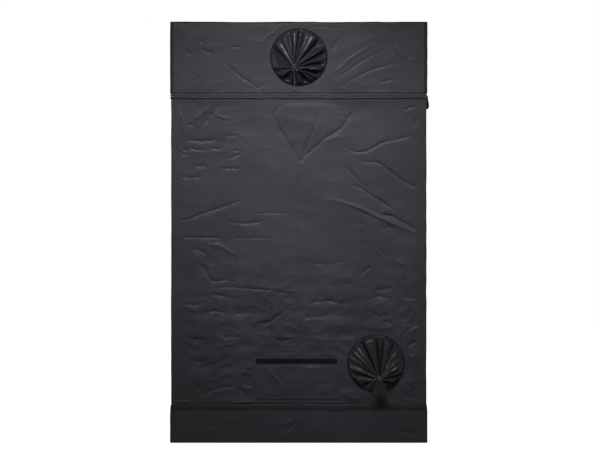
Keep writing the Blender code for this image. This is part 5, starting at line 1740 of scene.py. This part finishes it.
def sleeve_patch(face, port, gather, tail, pleats, seed):
    """The gathered sleeve as rings of points: collar, pleated cone, neck and hanging tail."""
    turn = np.linspace(0.0, math.tau, PLEAT_COLUMNS, endpoint=False)
    across, up = np.cos(turn), np.sin(turn)
    rings = []

    def ring(x, out, z):
        rings.append(np.stack([port[0] + x, -(face + out), port[1] + z], -1))

    ring(PORT_RADIUS * across, np.full_like(turn, SEAM_GAP + CLOTH), PORT_RADIUS * up)
    start = PORT_RADIUS - COLLAR_BAND
    for row in range(CONE_ROWS + 1):
        share = row / CONE_ROWS
        radius = start + (NECK_RADIUS - start) * share
        lean = share**CONE_LEAN_POWER
        crumple = uneven(across * radius, up * radius, seed, SLEEVE_LAYERS)
        lift = pleat_height(turn, np.full_like(turn, share), pleats, seed)
        lift = lift + crumple * math.sin(math.pi * share) ** CRUMPLE_POWER
        out = COLLAR_CROWN + (NECK_OUT - COLLAR_CROWN) * share**CONE_OUT_POWER + lift
        out = np.maximum(out, SLEEVE_CLEARANCE)
        ring(gather[0] * lean + radius * across, out, gather[1] * lean + radius * up)
    squashed = NECK_RADIUS * up * NECK_SQUASH_SHARE
    ring(gather[0] + NECK_RADIUS * across, NECK_OUT + NECK_BEND + squashed, gather[1] - NECK_BEND + squashed)
    fall, half_width = tail
    pinch = 1 + NECK_PINCH_SHARE * np.cos(11 * turn + seed) + FINE_NECK_PINCH_SHARE * np.cos(17 * turn)
    for row in range(1, TAIL_ROWS + 1):
        share = row / TAIL_ROWS
        width = NECK_RADIUS + (half_width - NECK_RADIUS) * share**TAIL_WIDENING_POWER
        depth = TAIL_THICKNESS * (1 - TAIL_THINNING_SHARE * share) * pinch
        folds = TAIL_FOLD * share * np.cos(7 * turn + seed) + FINE_TAIL_FOLD * share * np.cos(13 * turn)
        drop = 2 * NECK_BEND + (fall - 2 * NECK_BEND) * share
        ragged = TAIL_RAG * share * np.cos(3 * turn + seed)
        out = NECK_OUT + NECK_BEND + depth * up + folds
        ring(gather[0] + width * pinch * across, out, gather[1] - drop + ragged)
    return np.concatenate(rings), quads_of(len(rings), PLEAT_COLUMNS, True)[:, ::-1]


def port_piping(port, face):
    """Round piping along the rim of a port."""
    rim = []
    for step in range(PIPING_STEPS):
        turn = math.tau * step / PIPING_STEPS
        x, z = port[0] + PORT_RADIUS * math.cos(turn), port[1] + PORT_RADIUS * math.sin(turn)
        rim.append((x, -(face + PIPING_RISE), z))
    return tube_patch(rim, PIPING_RADIUS, THIN_TUBE_SIDES, True)


def build_sleeve(name, body, face, port, gather, tail, pleats, seed, wall):
    """A duct port's gathered sleeve and the piping round it."""
    patch = sleeve_patch(face, port, gather, tail, pleats, seed)
    node = f"{name}_duct_sleeve"
    sheet_piece(
        f"{node}_cloth", node, [patch], [sleeve_finish()], body,
        SLEEVE_CLOTH,
    )
    make_piece(f"{name}_port_piping", [port_piping(port, face)], [binding_finish()], body)


def build_sleeves():
    upper = (UPPER_PORT, UPPER_GATHER, UPPER_TAIL, UPPER_PLEATS, 3)
    build_sleeve("upper", "cap", TENT_FACE, *upper, "top_section_cloth")
    lower = (LOWER_PORT, LOWER_GATHER, LOWER_TAIL, LOWER_PLEATS, 8)
    build_sleeve("lower", "tent", WALL_FACE, *lower, "rear_wall_cloth")


def knot_patch(end):
    """A few turns of cord round the end of a string."""
    turns = [math.tau * KNOT_TURNS * step / KNOT_STEPS for step in range(KNOT_STEPS + 1)]
    route = []
    for turn in turns:
        level = KNOT_HALF_HEIGHT - 2 * KNOT_HALF_HEIGHT * turn / turns[-1]
        route.append(end + Vector((math.sin(turn) * KNOT_RADII[0], math.cos(turn) * KNOT_RADII[1], level)))
    return tube_patch(route, STRING_DIAMETER * KNOT_CORD_SHARE, THIN_TUBE_SIDES)


def string_start(port, gather, face, down, left):
    """Where a drawstring leaves the gathered neck."""
    return Vector((port[0] + gather[0] - left, -(face + NECK_OUT + NECK_BEND), port[1] + gather[1] - down))


def build_cord(name, node, start, route, body):
    """A drawstring along its route, with a knot at its end."""
    points = [start + point for point in smooth_route(route, STRING_STEP)]
    curve = bpy.data.curves.new(name, "CURVE")
    curve.dimensions = "3D"
    curve.bevel_depth = STRING_DIAMETER / 2
    curve.bevel_resolution = 4
    curve.use_fill_caps = True
    curve.materials.append(cord_finish())
    spline = curve.splines.new("POLY")
    spline.points.add(len(points) - 1)
    for point, place in zip(spline.points, points):
        point.co = (*place, 1.0)
    cord = bpy.data.objects.new(name, curve)
    bpy.context.scene.collection.objects.link(cord)
    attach(cord, body)
    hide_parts(node)
    wrap = make_piece(f"{name}_knot", [knot_patch(points[-1])], [cord_finish()], body)
    length = sum((far - near).length for near, far in zip(points, points[1:]))
    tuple(points[0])


def build_cords():
    upper = string_start(UPPER_PORT, UPPER_GATHER, TENT_FACE, UPPER_TAIL[0] + SEAM_GAP, 0)
    build_cord("upper_drawstring_cord", "upper_drawstring", upper, UPPER_STRING, "cap")
    lower = string_start(LOWER_PORT, LOWER_GATHER, WALL_FACE, NECK_BEND, NECK_RADIUS + SEAM_GAP)
    build_cord("lower_drawstring_cord", "lower_drawstring", lower, LOWER_STRING, "tent")


def dress_nodes(wanted, finish):
    """Puts a finish on frame parts that keep their own shape."""
    for name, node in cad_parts.items():
        if any(word in name for word in wanted):
            node.data.materials.clear()
            node.data.materials.append(finish)


def build_poles():
    dress_nodes(("_pole_", "_upright_", "hanging_bar"), pole_finish())
    dress_nodes(("_corner_",), corner_finish())


def build_grip():
    """The moulded grip round the tab of the long zip, ribbed for the fingers."""
    turn = np.linspace(0.0, math.tau, GRIP_SIDES, endpoint=False)
    across, along = np.cos(turn), np.sin(turn)
    rings = []
    for index, (drop, inner, outer) in enumerate(smooth_route(GRIP_PROFILE, GRIP_STEP)):
        rib = 1.0 + GRIP_RIB_SHARE * (index % 2)
        reach = np.where(across > 0, outer, inner) * rib
        width = GRIP_HALF_WIDTH * min(1.0, inner / GRIP_FULL_REACH) * rib
        x = PULL_PIVOT[0] + reach * np.sign(across) * np.abs(across) ** GRIP_ROUND_POWER
        y = PULL_PIVOT[1] + width * np.sign(along) * np.abs(along) ** GRIP_ROUND_POWER
        rings.append(np.stack([x, y, np.full(GRIP_SIDES, PULL_PIVOT[2] + drop)], -1))
    faces = quads_of(len(rings), GRIP_SIDES, True)[:, ::-1].tolist()
    faces.append(list(range(GRIP_SIDES)))
    faces.append([(len(rings) - 1) * GRIP_SIDES + step for step in range(GRIP_SIDES)][::-1])
    patch = (np.concatenate(rings), faces)
    make_piece("extension_pull_grip", [patch], [rubber_finish()], "extension_pull")


def build_sliders():
    dress_nodes(("slider",), slider_finish())
    dress_nodes(("pull",), rubber_finish())
    build_grip()


def build_camera():
    """A long view straight at the wall, framed as in the photograph."""
    chosen = settings()
    camera = bpy.data.cameras.new("camera")
    camera.lens = chosen.lens
    camera.sensor_width = SENSOR_WIDTH
    width = PHOTO_WIDTH * PHOTO_ACROSS
    distance = width * chosen.lens / camera.sensor_width
    view = bpy.data.objects.new("camera", camera)
    middle_x = (PHOTO_WIDTH / 2 - PHOTO_MIDDLE) * PHOTO_ACROSS
    middle_z = (PHOTO_GROUND - PHOTO_HEIGHT / 2) * PHOTO_UP
    view.location = (middle_x, -WALL_FACE - distance, middle_z)
    view.rotation_euler = (math.radians(90), 0, 0)
    bpy.context.scene.collection.objects.link(view)
    bpy.context.scene.camera = view


def add_lamp(name, power, place, aim, size, spread):
    lamp = bpy.data.lights.new(name, "AREA")
    lamp.spread = math.radians(spread)
    lamp.shape = "RECTANGLE"
    lamp.size, lamp.size_y = size
    lamp.energy = power
    obj = bpy.data.objects.new(name, lamp)
    obj.location = place
    obj.rotation_mode = "QUATERNION"
    obj.rotation_quaternion = (Vector(aim) - Vector(place)).to_track_quat("-Z", "Y")
    bpy.context.scene.collection.objects.link(obj)


def seen_directly(tree):
    """1 for the rays that show the background as it is, and 0 for those that light the tent."""
    path = add_node(tree, "LightPath").outputs
    total = path["Is Camera Ray"]
    for kind in ("Is Glossy Ray", "Is Transmission Ray"):
        total = maths(tree, "MAXIMUM", total, path[kind])
    return total


def end_tree(tree, kind, lighting, seen):
    """Ends a tree in one shader for the rays that show it and in another for those that light the tent."""
    mix = add_node(tree, "MixShader", {0: seen_directly(tree), 1: lighting.outputs[0], 2: seen.outputs[0]})
    add_node(tree, kind, {0: mix.outputs[0]})


def build_world():
    """An even, weak light, and a white background where it is seen."""
    world = bpy.context.scene.world or bpy.data.worlds.new("studio")
    bpy.context.scene.world = world
    world.use_nodes = True
    tree = world.node_tree
    tree.nodes.clear()
    plain = add_node(tree, "Background", {"Color": EVEN_LIGHT, "Strength": settings().ambient})
    end_tree(tree, "OutputWorld", plain, add_node(tree, "Background", {"Color": WHITE}))


def ground_finish():
    """Pale matt ground that keeps the shadow and joins the white background."""
    chosen = settings()
    finish = bpy.data.materials.new("studio_ground")
    finish.use_nodes = True
    tree = finish.node_tree
    tree.nodes.clear()
    matt = add_node(tree, "BsdfDiffuse", {"Color": GROUND_TONE})
    place = add_node(tree, "TexCoord").outputs["Object"]
    rise = {
        "Value": add_node(tree, "VectorMath", {0: place}, operation="LENGTH").outputs["Value"],
        "From Min": chosen.ground_near,
        "From Max": chosen.ground_far,
        "To Min": chosen.ground_glow,
    }
    strength = add_node(tree, "MapRange", rise, interpolation_type="SMOOTHSTEP").outputs["Result"]
    glow = add_node(tree, "Emission", {"Color": WHITE, "Strength": strength})
    both = add_node(tree, "AddShader", {0: matt.outputs[0], 1: glow.outputs[0]})
    end_tree(tree, "OutputMaterial", matt, both)
    return finish


def build_stage():
    """The ground, the lamps and the background."""
    half = GROUND_HALF_WIDTH
    corners = [(x, y, 0) for x, y in corner_places(half)]
    mesh = bpy.data.meshes.new("studio_ground")
    mesh.from_pydata(corners, [], [(0, 1, 2, 3)])
    mesh.materials.append(ground_finish())
    ground = bpy.data.objects.new("studio_ground", mesh)
    ground.location = (0, 0, -GROUND_DROP)
    bpy.context.scene.collection.objects.link(ground)
    for name, power, place, aim, size, spread in LAMPS:
        add_lamp(name, getattr(settings(), power), place, aim, size, spread)
    build_world()
    bpy.context.scene.view_settings.view_transform = "Standard"


class GrowTentSettings(bpy.types.PropertyGroup):
    """Sizes, colours and lamps that a user would change"""

    crease_depth: bpy.props.FloatProperty(
        name="Crease depth", description="Depth of the creases, against those listed", default=2.0, min=0.0
    )
    crease_width: bpy.props.FloatProperty(
        name="Crease width", description="Width of the creases, against those listed", default=0.36, min=0.1
    )
    thread_pitch: bpy.props.FloatProperty(
        name="Thread pitch", description="Distance between threads of the wall cloth", default=0.0011,
        precision=5, subtype="DISTANCE", unit="LENGTH",
    )
    fine_grid: bpy.props.FloatProperty(
        name="Fine grid", description="Mesh size of the cloth on the ported side", default=0.0034,
        precision=4, subtype="DISTANCE", unit="LENGTH",
    )
    coarse_grid: bpy.props.FloatProperty(
        name="Coarse grid", description="Mesh size of the cloth on the other sides", default=0.011,
        precision=4, subtype="DISTANCE", unit="LENGTH",
    )
    binding_radius: bpy.props.FloatProperty(
        name="Binding radius", description="Radius of the bound seams", default=0.0029,
        precision=4, subtype="DISTANCE", unit="LENGTH",
    )
    cloth_colour: bpy.props.FloatVectorProperty(
        name="Wall cloth", description="Colour of the coated wall cloth", default=(0.0298, 0.0300, 0.0352),
        subtype="COLOR", size=3, min=0.0, max=1.0,
    )
    floor_colour: bpy.props.FloatVectorProperty(
        name="Floor cloth", description="Colour of the floor and its skirt", default=(0.0275, 0.0277, 0.0328),
        subtype="COLOR", size=3, min=0.0, max=1.0,
    )
    sleeve_colour: bpy.props.FloatVectorProperty(
        name="Sleeve cloth", description="Colour of the glossy duct sleeves",
        default=(0.0105, 0.0110, 0.0135), subtype="COLOR", size=3, min=0.0, max=1.0,
    )
    lining_colour: bpy.props.FloatVectorProperty(
        name="Lining", description="Colour of the reflective lining", default=(0.80, 0.81, 0.83),
        subtype="COLOR", size=3, min=0.0, max=1.0,
    )
    cord_colour: bpy.props.FloatVectorProperty(
        name="Drawstring", description="Colour of the drawstrings", default=(0.028, 0.028, 0.032),
        subtype="COLOR", size=3, min=0.0, max=1.0,
    )
    window_colour: bpy.props.FloatVectorProperty(
        name="Window sheet", description="Colour of the view window", default=(0.10, 0.34, 0.12),
        subtype="COLOR", size=3, min=0.0, max=1.0,
    )
    lens: bpy.props.FloatProperty(
        name="Lens", description="Focal length in millimetres", default=85.0, min=20.0
    )
    key_power: bpy.props.FloatProperty(
        name="Key lamp", description="Power in watts", default=15.0, min=0.0
    )
    side_power: bpy.props.FloatProperty(
        name="Side lamps", description="Power in watts", default=85.0, min=0.0
    )
    back_power: bpy.props.FloatProperty(
        name="Back lamp", description="Power in watts", default=105.0, min=0.0
    )
    ambient: bpy.props.FloatProperty(
        name="Ambient", description="Strength of the even light", default=0.03, min=0.0
    )
    ground_glow: bpy.props.FloatProperty(
        name="Ground glow", description="What lifts the seen ground to white near the tent",
        default=0.92, min=0.0,
    )
    ground_near: bpy.props.FloatProperty(
        name="Ground near", description="How far from the tent the ground's own light starts to rise",
        default=1.2, subtype="DISTANCE", unit="LENGTH",
    )
    ground_far: bpy.props.FloatProperty(
        name="Ground far", description="How far from the tent the ground is white by itself",
        default=3.0, subtype="DISTANCE", unit="LENGTH",
    )


class GROWTENT_OT_camera(bpy.types.Operator):
    """Places the camera as in the photograph"""

    bl_idname = "growtent.camera"
    bl_label = "Camera"

    def execute(self, context):
        build_camera()
        return {"FINISHED"}


class GROWTENT_OT_cords(bpy.types.Operator):
    """Hangs the two drawstrings"""

    bl_idname = "growtent.cords"
    bl_label = "Drawstrings"

    def execute(self, context):
        build_cords()
        return {"FINISHED"}


class GROWTENT_OT_walls(bpy.types.Operator):
    """Stretches the four cloth walls over the posts"""

    bl_idname = "growtent.walls"
    bl_label = "Cloth walls"

    def execute(self, context):
        build_walls()
        return {"FINISHED"}


class GROWTENT_OT_cap(bpy.types.Operator):
    """Sews the top section"""

    bl_idname = "growtent.cap"
    bl_label = "Top section"

    def execute(self, context):
        build_cap()
        return {"FINISHED"}


class GROWTENT_OT_floor(bpy.types.Operator):
    """Lays the floor, its skirt and the spill tray"""

    bl_idname = "growtent.floor"
    bl_label = "Floor and tray"

    def execute(self, context):
        build_floor()
        return {"FINISHED"}


class GROWTENT_OT_zips(bpy.types.Operator):
    """Makes the zip round the tent and the zip of the door"""

    bl_idname = "growtent.zips"
    bl_label = "Zips"

    def execute(self, context):
        build_extension_zip()
        build_door_zip()
        build_stitching()
        return {"FINISHED"}


class GROWTENT_OT_door(bpy.types.Operator):
    """Makes the door, its window and the window's flap"""

    bl_idname = "growtent.door"
    bl_label = "Door and window"

    def execute(self, context):
        build_door()
        return {"FINISHED"}


class GROWTENT_OT_vents(bpy.types.Operator):
    """Makes the low vents: screen, flap and closing strip"""

    bl_idname = "growtent.vents"
    bl_label = "Low vents"

    def execute(self, context):
        build_vents()
        return {"FINISHED"}


class GROWTENT_OT_sleeves(bpy.types.Operator):
    """Gathers the duct sleeves"""

    bl_idname = "growtent.sleeves"
    bl_label = "Duct sleeves"

    def execute(self, context):
        build_sleeves()
        return {"FINISHED"}


class GROWTENT_OT_poles(bpy.types.Operator):
    """Finishes the poles, bars and corner fittings"""

    bl_idname = "growtent.poles"
    bl_label = "Poles and corners"

    def execute(self, context):
        build_poles()
        return {"FINISHED"}


class GROWTENT_OT_sliders(bpy.types.Operator):
    """Finishes the zip sliders and their pulls"""

    bl_idname = "growtent.sliders"
    bl_label = "Zip sliders"

    def execute(self, context):
        build_sliders()
        return {"FINISHED"}


class GROWTENT_OT_stage(bpy.types.Operator):
    """Sets the ground, the lamps and the background"""

    bl_idname = "growtent.stage"
    bl_label = "Stage"

    def execute(self, context):
        build_stage()
        return {"FINISHED"}


OPERATORS = (
    GROWTENT_OT_camera,
    GROWTENT_OT_cords,
    GROWTENT_OT_walls,
    GROWTENT_OT_cap,
    GROWTENT_OT_floor,
    GROWTENT_OT_zips,
    GROWTENT_OT_door,
    GROWTENT_OT_vents,
    GROWTENT_OT_sleeves,
    GROWTENT_OT_poles,
    GROWTENT_OT_sliders,
    GROWTENT_OT_stage,
)


class GROWTENT_PT_panel(bpy.types.Panel):
    """Lists the steps and the settings of the tent"""

    bl_idname = "GROWTENT_PT_panel"
    bl_label = "Grow tent"
    bl_space_type = "VIEW_3D"
    bl_region_type = "UI"
    bl_category = "Grow tent"

    def draw(self, context):
        for name in GrowTentSettings.__annotations__:
            self.layout.prop(context.scene.grow_tent, name)
        for operator in OPERATORS:
            self.layout.operator(operator.bl_idname)


CLASSES = (GrowTentSettings, *OPERATORS, GROWTENT_PT_panel)


def register():
    for cls in CLASSES:
        bpy.utils.register_class(cls)
    bpy.types.Scene.grow_tent = bpy.props.PointerProperty(type=GrowTentSettings)


def unregister():
    del bpy.types.Scene.grow_tent
    for cls in reversed(CLASSES):
        bpy.utils.unregister_class(cls)


def main():
    register()
    for operator in OPERATORS:
        group, name = operator.bl_idname.split(".")
        getattr(getattr(bpy.ops, group), name)()


if __name__ == "__main__":
    main()
